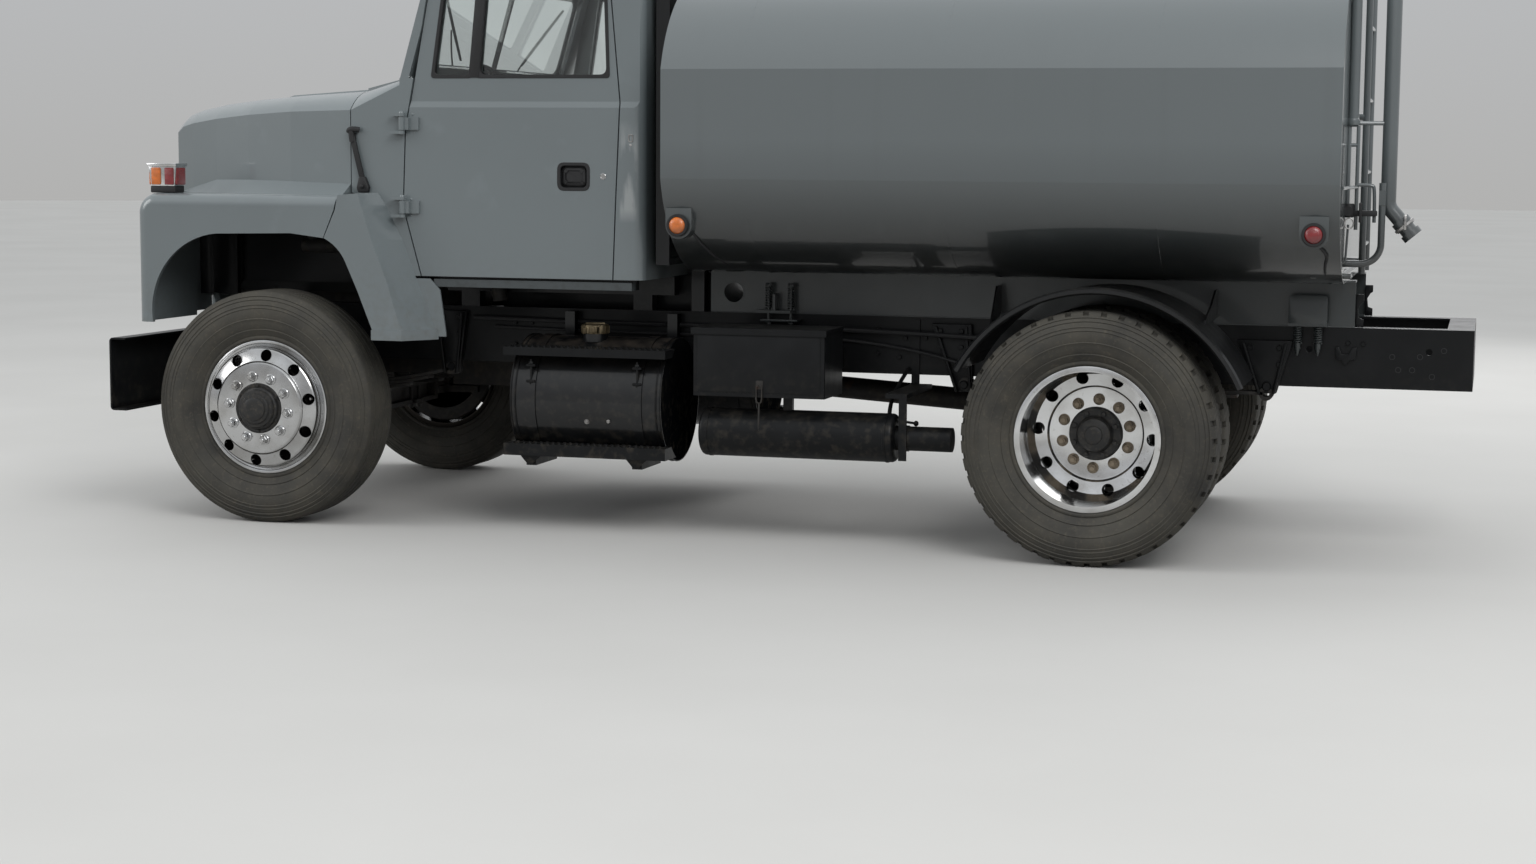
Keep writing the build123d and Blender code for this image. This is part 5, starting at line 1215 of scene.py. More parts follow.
def spring_pack(spring):
    """Stacked leaves, each shorter than the one above it, with rolled eyes at the main leaf's ends."""
    leaves = []
    for index in range(spring["leaves"]):
        half = spring["half"] * (1 - 0.17 * index) - 0.012
        xs = spaced(-half, half, 13)
        tops = [spring["crown"] + spring["rise"] * (x / spring["half"]) ** 2 - index * spring["thick"]
                for x in xs]
        upper = [(spring["x"] + x, top) for x, top in zip(xs, tops)]
        lower = [(spring["x"] + x, top - spring["thick"] + 0.0012) for x, top in zip(xs, tops)]
        leaves.append(plate(upper + lower[::-1], 0.396, 0.468, bevel=0.0015))
    end_z = spring["crown"] + spring["rise"] - 0.008
    for end in (-1, 1):
        eye = turned(((0.014, 0), (0.03, 0), (0.03, 0.072), (0.014, 0.072)), 24, tube=True)
        leaves.append(placed(eye, (spring["x"] + end * (spring["half"] - 0.002), 0.396, end_z)))
    return joined(*leaves)


def u_bolts(spring, low, plate_size):
    """Two U-bolts over a top plate, with nuts under the clamp plate."""
    x, crown = spring["x"], spring["crown"]
    thick = spring["leaves"] * spring["thick"]
    parts = [
        block((x - plate_size, 0.388, crown), (x + plate_size, 0.476, crown + 0.022), 0.004),
        block((x - plate_size, 0.386, low - 0.018), (x + plate_size, 0.478, low), 0.004),
    ]
    for step in (-0.045, 0.045):
        bend = crown + 0.03
        line = (
            (x + step, 0.386, low - 0.045), (x + step, 0.386, crown - thick), (x + step, 0.386, bend),
            (x + step, 0.432, bend + 0.012), (x + step, 0.478, bend), (x + step, 0.478, crown - thick),
            (x + step, 0.478, low - 0.045),
        )
        parts.append(pipe(line, 0.0095, True, 4))
        for y in (0.386, 0.478):
            parts.append(placed(hex_head(0.016, 0.02), (x + step, y, low - 0.018), DOWN))
    return joined(*parts)


for spring, name in ((FRONT_SPRING, "front"), (REAR_SPRING, "rear")):
    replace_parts(settle(both_sides(spring_pack(spring)), f"{name}_leaf_springs", IRON), "leaf_springs")
settle(both_sides(u_bolts(FRONT_SPRING, 0.418, 0.075)), "front_spring_clamps", IRON)
settle(both_sides(u_bolts(REAR_SPRING, 0.428, 0.08)), "rear_spring_clamps", IRON)


def hanger(top, bottom, high, low, outer=0.482):
    """A cast bracket on the rail's side, narrow below, with two ribs and four bolts."""
    body = plate(((top[0], high), (top[1], high), (bottom[1], low), (bottom[0], low)), 0.4335, outer - 0.02,
                 bevel=0.004)
    parts = [body]
    for share in (0.12, 0.88):
        high_x = top[0] + share * (top[1] - top[0])
        low_x = bottom[0] + share * (bottom[1] - bottom[0])
        rib = ((high_x - 0.006, high - 0.01), (high_x + 0.006, high - 0.01), (low_x + 0.006, low),
               (low_x - 0.006, low))
        parts.append(plate(rib, outer - 0.024, outer, bevel=0.002))
    middle = (top[0] + top[1]) / 2
    spread_x = 0.26 * (top[1] - top[0])
    places = [(middle + dx, outer - 0.0202, high - dz) for dx in (-spread_x, spread_x) for dz in (0.03, 0.1)]
    parts.append(bolt_heads(places, ACROSS, 0.0115))
    pin_x = (bottom[0] + bottom[1]) / 2
    parts.append(turned_at(((0.02, 0), (0.02, 0.008), (0.015, 0.013)), 18,
                           (pin_x, outer - 0.022, low + 0.03)))
    return joined(*parts)


for name, top, bottom, high, low in (
    ("front_spring_front_hangers", (2.775, 2.885), (2.825, 2.875), 0.8, 0.63),
    ("front_spring_rear_hangers", (1.53, 1.69), (1.57, 1.645), 0.93, 0.64),
    ("rear_spring_front_hangers", (-0.84, -0.66), (-0.85, -0.77), 0.925, 0.63),
    ("rear_spring_rear_hangers", (-2.22, -1.985), (-2.155, -2.075), 0.89, 0.665),
):
    settle(both_sides(hanger(top, bottom, high, low)), name, FRAME_BLACK)

shock = joined(
    turned_at(((0.03, 0), (0.034, 0.008), (0.034, 0.24), (0.03, 0.25)), 28, (2.42, 0.505, 0.66),
              (-0.12, 0, 1)),
    turned_at(((0.026, 0), (0.028, 0.01), (0.028, 0.22), (0.012, 0.23)), 28, (2.445, 0.505, 0.45),
              (-0.12, 0, 1)),
    turned_at(((0.024, 0), (0.024, 0.05)), 20, (2.39, 0.46, 0.915), ACROSS),
    turned_at(((0.024, 0), (0.024, 0.05)), 20, (2.45, 0.46, 0.44), ACROSS),
)
settle(both_sides(shock), "front_shock_absorbers", FRAME_BLACK)

# Bolt heads, hole rims, hooks and lines along the frame rails
RAIL_FACE = 0.4322
rail_places = [
    (-0.423, 0.892), (-0.541, 0.856), (-0.631, 0.858), (-0.415, 0.786), (-0.515, 0.771), (-2.444, 0.885),
    (-2.506, 0.883), (1.3, 0.88), (1.3, 0.78), (1.22, 0.88), (-1.02, 0.87), (-1.1, 0.87), (-1.9, 0.87),
    (-1.82, 0.87),
]
settle(both_sides(bolt_heads([(x, RAIL_FACE, z) for x, z in rail_places], ACROSS, 0.0105)), "rail_bolts",
       FRAME_BLACK)
hole_rim = turned(((0.0095, 0), (0.0125, 0), (0.0125, 0.0012), (0.0095, 0.0012)), 18, tube=True)
hole_spots = [
    (-2.626, 0.832), (-2.739, 0.835), (-2.835, 0.863), (-2.652, 0.778), (-2.709, 0.779), (-2.79, 0.753),
]
rims = spread(hole_rim, [on((x, RAIL_FACE - 0.0001, z), ACROSS) for x, z in hole_spots])
settle(both_sides(rims), "rail_hole_rims", RUBBER)
hook_plate = plate(
    ((-2.392, 0.868), (-2.41, 0.868), (-2.42, 0.84), (-2.45, 0.84), (-2.462, 0.868), (-2.482, 0.868),
     (-2.478, 0.82),
     (-2.45, 0.812), (-2.442, 0.796), (-2.428, 0.796), (-2.42, 0.812), (-2.396, 0.82)),
    RAIL_FACE, 0.45, bevel=0.002,
)
settle(both_sides(hook_plate), "rail_hook_brackets", FRAME_BLACK)
air_line = pipe(
    ((1.4, 0.443, 0.86), (0.6, 0.443, 0.84), (0.0, 0.445, 0.86), (-0.55, 0.443, 0.82), (-0.78, 0.49, 0.76)),
    0.007, True
)
loom = pipe(((1.5, 0.445, 0.9), (0.7, 0.446, 0.885), (-0.2, 0.444, 0.895), (-0.9, 0.5, 0.87)), 0.011, True)
settle(both_sides(joined(air_line, loom)), "rail_lines", RUBBER)

# Sill brackets with their springs: over the front pair, under the rear pair
SPRING_Y = 0.474
front_mounts = [block((-0.06, 0.4335, 0.918), (0.11, 0.5, 0.928), 0.002)]
for x in (-0.025, 0.078):
    front_mounts += [
        placed(coil(0.0125, 0.0034, 0.106, 9), (x, SPRING_Y, 0.9685), UP),
        pipe(((x, SPRING_Y, 0.885), (x, SPRING_Y, 1.085)), 0.0062, sides=2),
        placed(hex_head(0.0135, 0.014), (x, SPRING_Y, 1.0745), UP),
        placed(hex_head(0.0125, 0.012), (x, SPRING_Y, 0.9175), DOWN),
    ]
settle(both_sides(joined(*front_mounts)), "front_sill_springs", SILL_GREY_IN_PAINTED_SHADE)
ear = rounded(((-2.2, 0.957), (-2.2, 1.088), (-2.36, 1.088), (-2.36, 0.957)), 0.022)
rear_mounts = [plate(ear, 0.5, 0.5065, bevel=0.0015)]
for x in (-2.238, -2.322):
    tip = turned(((0.014, 0), (0.014, 0.02), (0.004, 0.052), (0.002, 0.054)), 16)
    rear_mounts += [
        placed(coil(0.0155, 0.0038, 0.075, 7), (x, SPRING_Y, 0.955), DOWN),
        pipe(((x, SPRING_Y, 0.88), (x, SPRING_Y, 0.99)), 0.0068, sides=2),
        placed(hex_head(0.0135, 0.014), (x, SPRING_Y, 0.9683), UP),
        placed(tip, (x, SPRING_Y, 0.884), DOWN),
    ]
settle(both_sides(joined(*rear_mounts)), "rear_sill_springs", SILL_GREY_IN_PAINTED_SHADE)
sill_lip = joined(
    block((-2.469, 0.432, 0.951), (0.36, 0.4375, 0.9545), 0.0008),
    block((-2.469, 0.432, 1.139), (0.36, 0.436, 1.146), 0.0008),
)
settle(both_sides(sill_lip), "sill_edges", SILL_GREY_IN_PAINTED_SHADE)
sill_hole = turned(((0.0445, 0), (0.05, 0), (0.05, 0.0025), (0.0445, 0.0025)), 36, tube=True)
settle(both_sides(placed(sill_hole, (0.252, 0.4319, 1.041))), "sill_hole_rims", SILL_GREY_IN_PAINTED_SHADE)
tail_hook = plate(
    ((-2.4692, 1.09), (-2.4692, 0.952), (-2.503, 0.952), (-2.503, 0.985), (-2.483, 0.992), (-2.479, 1.03),
     (-2.492, 1.052), (-2.503, 1.06), (-2.503, 1.09)),
    0.4, 0.408, bevel=0.0015,
)
settle(both_sides(tail_hook), "sill_end_hooks", FRAME_BLACK)

# Fuel tanks and steps: caps, strap bolts, drain plugs, end seams, treads and gussets
CAP_PLACE = (0.786, 0.782, 0.0)
STRAP_XS = (0.523, 1.013)
cap = turned(
    ((0.0563, 0.866), (0.0605, 0.866), (0.0615, 0.87), (0.0615, 0.898), (0.0585, 0.905), (0.046, 0.907),
     (0.044, 0.9035),
     (0.02, 0.9035), (0.018, 0.908), (0.008, 0.909)),
    40,
)
cap_ribs = spread(
    block((0.0607, -0.0022, 0.868), (0.0632, 0.0022, 0.899), 0.0008),
    [turn_about("Z", 15 * index) for index in range(24)],
)
cap_bar = block((-0.043, -0.006, 0.9032), (0.043, 0.006, 0.914), 0.003)
fuel_cap = joined(cap, cap_ribs, cap_bar)
fuel_cap.matrix_world = Matrix.Translation(CAP_PLACE) @ turn_about("Z", 24)
settle(both_sides(fuel_cap), "fuel_caps", BRASS)

strap_parts = []
for x in STRAP_XS:
    strap_parts += [
        block((x - 0.02, 0.955, 0.728), (x + 0.02, 0.987, 0.738), 0.002),
        block((x - 0.02, 0.955, 0.66), (x + 0.02, 0.992, 0.67), 0.002),
        pipe(((x, 0.978, 0.63), (x, 0.978, 0.76)), 0.0055, sides=2),
        placed(hex_head(0.011, 0.012), (x, 0.978, 0.738), UP),
        placed(hex_head(0.011, 0.012), (x, 0.978, 0.66), DOWN),
    ]
settle(both_sides(joined(*strap_parts)), "fuel_strap_bolts", FRAME_BLACK)
plugs = joined(*[placed(hex_head(0.009, 0.01), (x, 0.9775, z), (0, 0.95, -0.31))
                 for x, z in ((0.755, 0.494), (0.654, 0.5))])
settle(both_sides(plugs), "fuel_tank_plugs", STEEL)
seam = turned(((0.2695, 0), (0.2735, 0), (0.2745, 0.003), (0.2735, 0.007), (0.2695, 0.007)), 72, tube=True)
seams = spread(seam, [on((x, 0.722, 0.58), AHEAD) for x in (0.4118, 0.432, 1.081, 1.1012)])
settle(both_sides(seams), "fuel_tank_seams", FRAME_BLACK)
grip = turned(((0.008, 0), (0.0085, 0.001), (0.0065, 0.0032), (0.0035, 0.0024)), 12)
grip_spots = []
for z in (0.814, 0.39):
    for row, y in enumerate(spaced(0.895 if z > 0.5 else 0.93, 0.995, 4 if z > 0.5 else 3)):
        grip_spots += [on((x + 0.012 * (row % 2), y, z - 0.0004)) for x in spaced(0.41, 1.095, 26)]
settle(both_sides(spread(grip, grip_spots)), "step_treads", FRAME_BLACK)
struts = []
for x in STRAP_XS:
    struts.append(plate(((x - 0.05, 0.3385), (x + 0.05, 0.3385), (x + 0.012, 0.296), (x - 0.004, 0.296)),
                        0.985, 0.991, bevel=0.001))
settle(both_sides(joined(*struts)), "step_gussets", FRAME_BLACK)

# Battery box: pressed face, lid edge and the latch with its hanging strap; left side only
box_face = plate(soft_oblong((-0.3, 0.645), (0.244, 0.888), 0.014), 0.9995, 1.002, bevel=0.0012)
lid_lip = joined(
    block((-0.3278, 1.0045, 0.892), (0.2718, 1.0078, 0.912), 0.001),
    block((-0.3278, 0.72, 0.9065), (-0.3245, 1.006, 0.9185), 0.001),
)
settle(joined(box_face, lid_lip), "battery_box_pressings", FRAME_BLACK)
latch = joined(
    plate(soft_oblong((-0.05, 0.663), (-0.018, 0.7), 0.005), 1.0015, 1.0045, bevel=0.0008),
    pipe(((-0.046, 1.008, 0.676), (-0.048, 1.0085, 0.61), (-0.034, 1.009, 0.602), (-0.02, 1.0085, 0.61),
          (-0.022, 1.008, 0.676)), 0.0028, True),
    turned_at(((0.0045, 0), (0.0045, 0.006)), 10, (-0.041, 1.004, 0.678)),
    turned_at(((0.0045, 0), (0.0045, 0.006)), 10, (-0.027, 1.004, 0.678)),
    plate(((-0.038, 0.606), (-0.03, 0.606), (-0.0285, 0.5), (-0.032, 0.486), (-0.036, 0.5)), 1.0045, 1.009,
          bevel=0.001),
)
settle(latch, "battery_box_latch", IRON)

# Under the cab: tunnel over the gearbox, gearbox and air tanks between the rails
tunnel = [block(low, high, 0.0015) for low, high in (
    ((0.363, 0.282, 0.9), (1.42, 0.287, 1.113)),
    ((0.363, -0.287, 0.9), (1.42, -0.282, 1.113)),
    ((0.363, -0.287, 1.105), (1.42, 0.287, 1.112)),
    ((0.363, -0.287, 0.9), (0.368, 0.287, 1.112)),
)]
settle(joined(*tunnel), "cab_floor_tunnel", FRAME_BLACK)
gearbox = turned(
    ((0.21, 0), (0.215, 0.03), (0.2, 0.045), (0.2, 0.1), (0.165, 0.15), (0.155, 0.34), (0.162, 0.35),
     (0.162, 0.38),
     (0.13, 0.4), (0.085, 0.43), (0.06, 0.44)),
    28,
)
settle(placed(gearbox, (0.898, 0, 0.86), BACK), "gearbox", IRON)
air_tank = turned(((0.02, 0), (0.07, 0.012), (0.098, 0.04), (0.105, 0.07), (0.105, 0.63), (0.098, 0.66),
                   (0.07, 0.688), (0.02, 0.7)), 32)
tank_bands = [
    turned(((0.105, z), (0.1085, z), (0.1085, z + 0.03), (0.105, z + 0.03)), 32, tube=True)
    for z in (0.14, 0.53)
]
air_tanks = spread(joined(air_tank, *tank_bands),
                   [on((x, y, 0.8), AHEAD) for x, y in ((-0.5, 0.2), (-0.5, -0.2))])
settle(air_tanks, "air_tanks", FRAME_BLACK)

# Muffler: end seams, clamp and a hanging control rod
MUFFLER_Y, MUFFLER_Z = 0.88, 0.463
band = turned(((0.1035, 0), (0.1065, 0.001), (0.1065, 0.011), (0.1035, 0.012)), 56, tube=True)
bands = spread(band, [on((x, MUFFLER_Y, MUFFLER_Z), AHEAD) for x in (0.205, -0.578)])
settle(bands, "muffler_seams", FRAME_BLACK)
muffler_clamp = joined(
    turned_at(((0.0525, 0), (0.0555, 0), (0.0555, 0.03), (0.0525, 0.03)), 32,
              (-0.662, MUFFLER_Y, MUFFLER_Z), AHEAD, tube=True),
    placed(hex_head(0.009, 0.014), (-0.648, 0.925, 0.498), (0, 0.6, 0.8)),
)
control_rod = joined(
    pipe(((-0.555, 0.82, 0.535), (-0.62, 0.82, 0.528), (-0.672, 0.82, 0.522)), 0.0055, True),
    turned_at(((0.006, 0), (0.012, 0.006), (0.012, 0.014), (0.006, 0.02)), 16, (-0.668, 0.82, 0.522),
              (-1, 0, -0.1)),
    pipe(((-0.56, 0.82, 0.535), (-0.556, 0.8, 0.6), (-0.556, 0.6, 0.68), (-0.556, 0.442, 0.72)), 0.009, True),
)
settle(joined(muffler_clamp, control_rod), "muffler_clamp_and_rod", FRAME_BLACK)

# Tank: end rims, weld seams, dished heads
tank_low, tank_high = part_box("tank")
TANK_REAR, TANK_FRONT = tank_low[0], tank_high[0]
TANK_HALF = 1.2335
TANK_MIDDLE_Z = 1.79
FLOOR_EDGE, LOW_SIDE = (0.648, 1.148), (TANK_HALF, 1.555)
HIGH_SIDE, CROWN_EDGE = (TANK_HALF, 2.007), (0.648, 2.405)


def arc_points(start, middle, end, steps):
    """Points of the circle through three places, without the last."""
    (ax, ay), (bx, by), (cx, cy) = start, middle, end
    scale = 2 * (ax * (by - cy) + bx * (cy - ay) + cx * (ay - by))
    a2, b2, c2 = ax * ax + ay * ay, bx * bx + by * by, cx * cx + cy * cy
    centre = Vector((
        (a2 * (by - cy) + b2 * (cy - ay) + c2 * (ay - by)) / scale,
        (a2 * (cx - bx) + b2 * (ax - cx) + c2 * (bx - ax)) / scale,
    ))
    first, last = Vector(start) - centre, Vector(end) - centre
    sweep = math.atan2(first.x * last.y - first.y * last.x, first.dot(last))
    return [tuple(centre + Matrix.Rotation(sweep * step / steps, 2) @ first) for step in range(steps)]


def tank_outline():
    """Half the tank's section, mirrored: flat floor and sides, rounded shoulders, a slight crown."""
    right = [FLOOR_EDGE] + arc_points(FLOOR_EDGE, (1.085, 1.303), LOW_SIDE, 12)[1:]
    right += [LOW_SIDE] + arc_points(HIGH_SIDE, (1.085, 2.245), CROWN_EDGE, 12)
    right += arc_points(CROWN_EDGE, (0.0, 2.44), (-CROWN_EDGE[0], CROWN_EDGE[1]), 12)[:7]
    return right + [(-y, z) for y, z in reversed(right[:-1])]


OUTLINE = tank_outline()
rim_lines = []
for x in (TANK_FRONT - 0.0035, TANK_REAR + 0.0035):
    rim_lines.append(pipe([(x, y, z) for y, z in offset_outline(OUTLINE, 0.0035)], 0.0042, sides=2,
                          closed=True))
settle(joined(*rim_lines), "tank_rim_beads", TANK_PAINT, smooth=60)
weld_rings = []
for x in (-0.862, -1.72, -0.02):
    ring = frame_plate(offset_outline(OUTLINE, -0.0011), offset_outline(OUTLINE, 0.002), x - 0.005,
                       x + 0.005, "X", 0.0009)
    weld_rings.append(ring)
settle(joined(*weld_rings), "tank_weld_seams", TANK_PAINT)


def dished_head(level, out):
    """A shallow dished panel inside the rim, bulging outwards."""
    line = flat_ring(offset_outline(OUTLINE, 0.0315), level, "X")
    open_mesh(line)
    at, done = 1.0, 0.0
    for scale, rise in ((0.985, 0.006), (0.95, 0.0095), (0.88, 0.0115), (0.7, 0.013), (0.4, 0.0138)):
        bpy.ops.mesh.extrude_edges_move(TRANSFORM_OT_translate={"value": (out * (rise - done), 0, 0)})
        bpy.ops.transform.resize(value=(1, scale / at, scale / at), center_override=(level, 0, TANK_MIDDLE_Z))
        at, done = scale, rise
    bpy.ops.mesh.edge_face_add()
    bpy.ops.mesh.select_mode(type="EDGE")
    bpy.ops.mesh.select_all(action="DESELECT")
    bpy.ops.mesh.select_non_manifold()
    bpy.ops.mesh.edge_face_add()
    return close_mesh()


settle(
    joined(dished_head(TANK_FRONT - 0.015, 1), dished_head(TANK_REAR + 0.015, -1)), "tank_dished_heads",
    TANK_PAINT, smooth=25
)

# Manhole: handle, rings and clamps, moving with the lid, and the weld at its neck's foot
MANHOLE_X = -0.7
lid_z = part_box("manhole_lid")[1][2]
lid_handle = pipe(((-0.56, -0.07, lid_z - 0.002), (-0.56, -0.07, lid_z + 0.035), (-0.56, 0.07, lid_z + 0.035),
                   (-0.56, 0.07, lid_z - 0.002)), 0.007, True)
lid_rings = joined(
    turned(((0.24, lid_z - 0.0005), (0.262, lid_z - 0.0005), (0.26, lid_z + 0.004), (0.242, lid_z + 0.004)),
           64, tube=True),
    turned(((0.12, lid_z - 0.0005), (0.13, lid_z - 0.0005), (0.129, lid_z + 0.003), (0.121, lid_z + 0.003)),
           48, tube=True),
)
lid_rings.matrix_world = Matrix.Translation((MANHOLE_X, 0, 0))
clamp = joined(
    block((0.235, -0.014, lid_z), (0.279, 0.014, lid_z + 0.011), 0.003),
    placed(hex_head(0.0115, 0.014), (0.262, 0, lid_z + 0.011), UP),
)
clamps = spread(clamp,
                [Matrix.Translation((MANHOLE_X, 0, 0)) @ turn_about("Z", a) for a in (0, 60, 120, 240, 300)])
settle(joined(lid_handle, lid_rings, clamps), "manhole_lid_fittings", TANK_PAINT, "manhole_lid")
collar_bead = turned(((0.2545, 0.0), (0.2635, 0.001), (0.2605, 0.01), (0.2545, 0.014)), 64, tube=True)
collar_bead.matrix_world = Matrix.Translation((MANHOLE_X, 0, 2.4365))
settle(collar_bead, "manhole_weld", TANK_PAINT)

# Marker lamps: black grommet, domed lens and the conduit to the sill
MARKER_Y, MARKER_Z = 1.1881, 1.36
CONDUIT_RUN = ((1.12, 1.345), (1.085, 1.29), (0.99, 1.222), (0.82, 1.163), (0.55, 1.142))
for x, finish, name, steps in (
    (0.27, AMBER, "front", (-0.03, -0.055, -0.1, -0.16, -0.23)),
    (-2.34, RED, "rear", (0.03, -0.055, -0.03, -0.035, -0.03)),
):
    grommet = turned(
        ((0.0325, 0.003), (0.0385, 0.0), (0.0465, 0.0), (0.047, 0.018), (0.0435, 0.0225), (0.036, 0.0225),
         (0.0335, 0.019)),
        40,
        tube=True,
    )
    settle(both_sides(placed(grommet, (x, MARKER_Y, MARKER_Z))), f"{name}_marker_grommets", RUBBER)
    lamp_lens = turned(
        ((0.036, 0.0195), (0.0335, 0.0215), (0.031, 0.026), (0.024, 0.0305), (0.013, 0.033),
         (0.005, 0.0335)), 40
    )
    settle(both_sides(placed(lamp_lens, (x, MARKER_Y, MARKER_Z))), f"{name}_marker_lenses", finish)
    conduit = pipe([(x + step, y, z) for step, (y, z) in zip(steps, CONDUIT_RUN)], 0.0062, True)
    settle(both_sides(conduit), f"{name}_marker_conduits", RUBBER)

# Level gauge and small piping on the rear head, left of the fill pipe
GAUGE_Y = 0.752
gauge_pipes = joined(
    pipe(((-2.455, GAUGE_Y, 1.81), (-2.455, GAUGE_Y, 2.36)), 0.0215, sides=5),
    turned_at(((0.012, 0), (0.023, 0.008), (0.026, 0.02), (0.023, 0.032), (0.012, 0.04)), 28,
              (-2.455, GAUGE_Y, 1.785), UP),
    pipe(((-2.455, GAUGE_Y, 2.34), (-2.455, GAUGE_Y, 2.385), (-2.44, GAUGE_Y, 2.4), (-2.422, GAUGE_Y, 2.4)),
         0.0205, True, 5),
)
gauge_rods = joined(
    pipe(((-2.441, GAUGE_Y, 1.79), (-2.441, GAUGE_Y, 1.468)), 0.0085),
    pipe(((-2.476, GAUGE_Y, 1.79), (-2.476, GAUGE_Y, 1.37)), 0.0078),
    pipe(((-2.441, GAUGE_Y, 1.712), (-2.476, GAUGE_Y, 1.712)), 0.0075),
    pipe(((-2.47, GAUGE_Y, 1.8), (-2.52, GAUGE_Y - 0.02, 1.8), (-2.572, 0.715, 1.8)), 0.009),
    pipe(((-2.476, GAUGE_Y, 1.552), (-2.535, GAUGE_Y, 1.552), (-2.548, GAUGE_Y, 1.54),
          (-2.548, GAUGE_Y, 1.4)), 0.0075, True),
    pipe(((-2.443, 1.17, 1.543), (-2.476, GAUGE_Y, 1.543)), 0.0068),
    pipe(((-2.43, 0.79, 1.183), (-2.466, 0.79, 1.183)), 0.012, sides=4),
    pipe(((-2.446, GAUGE_Y, 1.39), (-2.443, 0.77, 1.3), (-2.44, 0.78, 1.236), (-2.425, 0.78, 1.232)), 0.005,
         True),
)
settle(joined(gauge_pipes, gauge_rods), "level_gauge", TANK_PAINT)
gauge_valve = joined(
    turned_at(((0.02, 0), (0.024, 0.006), (0.024, 0.05), (0.02, 0.056)), 24, (-2.446, GAUGE_Y, 1.42), UP),
    turned_at(((0.014, 0), (0.014, 0.03), (0.02, 0.032), (0.02, 0.044)), 20,
              (-2.446, GAUGE_Y + 0.02, 1.447), ACROSS),
    block((-2.56, 0.742, 1.425), (-2.46, 0.768, 1.449), 0.006),
    block((-2.5, 0.775, 1.4), (-2.488, 0.787, 1.48), 0.003),
)
settle(gauge_valve, "gauge_valve", RUBBER)
gauge_ring = pipe([
    (-2.452 + 0.018 * math.cos(a), 0.8, 1.397 + 0.022 * math.sin(a))
    for a in spaced(0, math.tau * 11 / 12, 12)
], 0.003, closed=True)
settle(gauge_ring, "gauge_valve_ring", STEEL)

# Fill pipe: cam-lock coupling with its two arms; ladder feet
coupling_axis = Vector((0.62, 0, 0.72))
coupling = joined(
    turned_at(((0.0402, 0), (0.045, 0.002), (0.046, 0.012), (0.0405, 0.015)), 32, (-2.672, 0.7, 1.382),
              coupling_axis, tube=True),
    block((-2.676, 0.741, 1.372), (-2.664, 0.748, 1.432), 0.003),
    block((-2.676, 0.652, 1.372), (-2.664, 0.659, 1.432), 0.003),
)
settle(coupling, "fill_coupling_arms", STEEL)
LADDER_YS = (0.12, 0.48)
feet = []
for y in LADDER_YS:
    for z in (1.22, 1.83):
        feet.append(turned_at(((0.028, 0), (0.028, 0.005), (0.02, 0.008), (0.0122, 0.009)), 24,
                              (-2.4221, y, z), BACK))
for y in LADDER_YS:
    feet.append(turned_at(((0.0139, 0), (0.013, 0.004), (0.008, 0.006)), 20, (-2.492, y, 2.4795), UP))
settle(joined(*feet), "ladder_feet", TANK_PAINT)


# Cab interior: seats, gauges, lever and pedals


def cushion(low, high, crown, pull):
    """A crowned, closed pad whose sides are pulled in between its corners."""
    pad = block(low, high, 0.022)
    open_mesh(pad)
    bpy.ops.mesh.subdivide(number_cuts=5)
    close_mesh()
    middle = [(a + b) / 2 for a, b in zip(low, high)]
    half = [(b - a) / 2 for a, b in zip(low, high)]
    thin = half.index(min(half))
    wide = [axis for axis in range(3) if axis != thin]
    for vertex in pad.data.vertices:
        share = [(vertex.co[axis] - middle[axis]) / half[axis] for axis in range(3)]
        flat = (1 - share[wide[0]] ** 2) * (1 - share[wide[1]] ** 2)
        if share[thin] > 0:
            vertex.co[thin] += crown * flat * share[thin]
        for axis, other in ((wide[0], wide[1]), (wide[1], wide[0])):
            vertex.co[axis] -= pull * share[axis] ** 3 * (1 - share[other] ** 2)
    return pad


def swollen(pad, voxel=0.012, reach=0.022):
    """Blow the pad up a little with Blender's cloth, keeping each point within reach."""
    alone(pad)
    pad.data.remesh_voxel_size = voxel
    bpy.ops.object.voxel_remesh()
    before = [vertex.co.copy() for vertex in pad.data.vertices]
    cloth = pad.modifiers.new("swell", "CLOTH")
    cloth.settings.use_pressure = True
    cloth.settings.uniform_pressure_force = 4
    cloth.settings.effector_weights.gravity = 0
    cloth.settings.tension_stiffness = 40
    cloth.point_cache.frame_start = 1
    cloth.point_cache.frame_end = 20
    for step in range(1, 21):
        bpy.context.scene.frame_set(step)
    alone(pad)
    bpy.ops.object.modifier_apply(modifier="swell")
    bpy.context.scene.frame_set(1)
    for vertex, start in zip(pad.data.vertices, before):
        move = vertex.co - start
        if move.length > reach:
            vertex.co = start + move * (reach / move.length)
    smoother = pad.modifiers.new("smooth", "SUBSURF")
    smoother.levels = smoother.render_levels = 1
    bpy.ops.object.modifier_apply(modifier="smooth")
    return pad


SEAT_Y = 0.48
SEAT_TRACK_Z = 1.156
seat_pan = joined(
    block((0.68, SEAT_Y - 0.2, 1.19), (1.08, SEAT_Y + 0.2, 1.4), 0.012),
    block((0.69, SEAT_Y - 0.19, SEAT_TRACK_Z), (1.09, SEAT_Y - 0.15, 1.195), 0.004),
    block((0.69, SEAT_Y + 0.15, SEAT_TRACK_Z), (1.09, SEAT_Y + 0.19, 1.195), 0.004),
)
seat_cushion = cushion((0.665, SEAT_Y - 0.232, 1.405), (1.13, SEAT_Y + 0.232, 1.535), 0.028, 0.012)
seat_back = cushion((-0.062, SEAT_Y - 0.228, 0.0), (0.062, SEAT_Y + 0.228, 0.6), 0.022, 0.014)
moved(seat_back, Matrix.Translation((0.7, 0, 1.49)) @ turn_about("Y", -8))
for pad, name in ((swollen(seat_cushion), "seat_cushion"), (swollen(seat_back), "seat_back")):
    for cushion_piece in settle_both(pad, name, SEAT_CLOTH, smooth=60):
        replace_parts(cushion_piece, "seats")
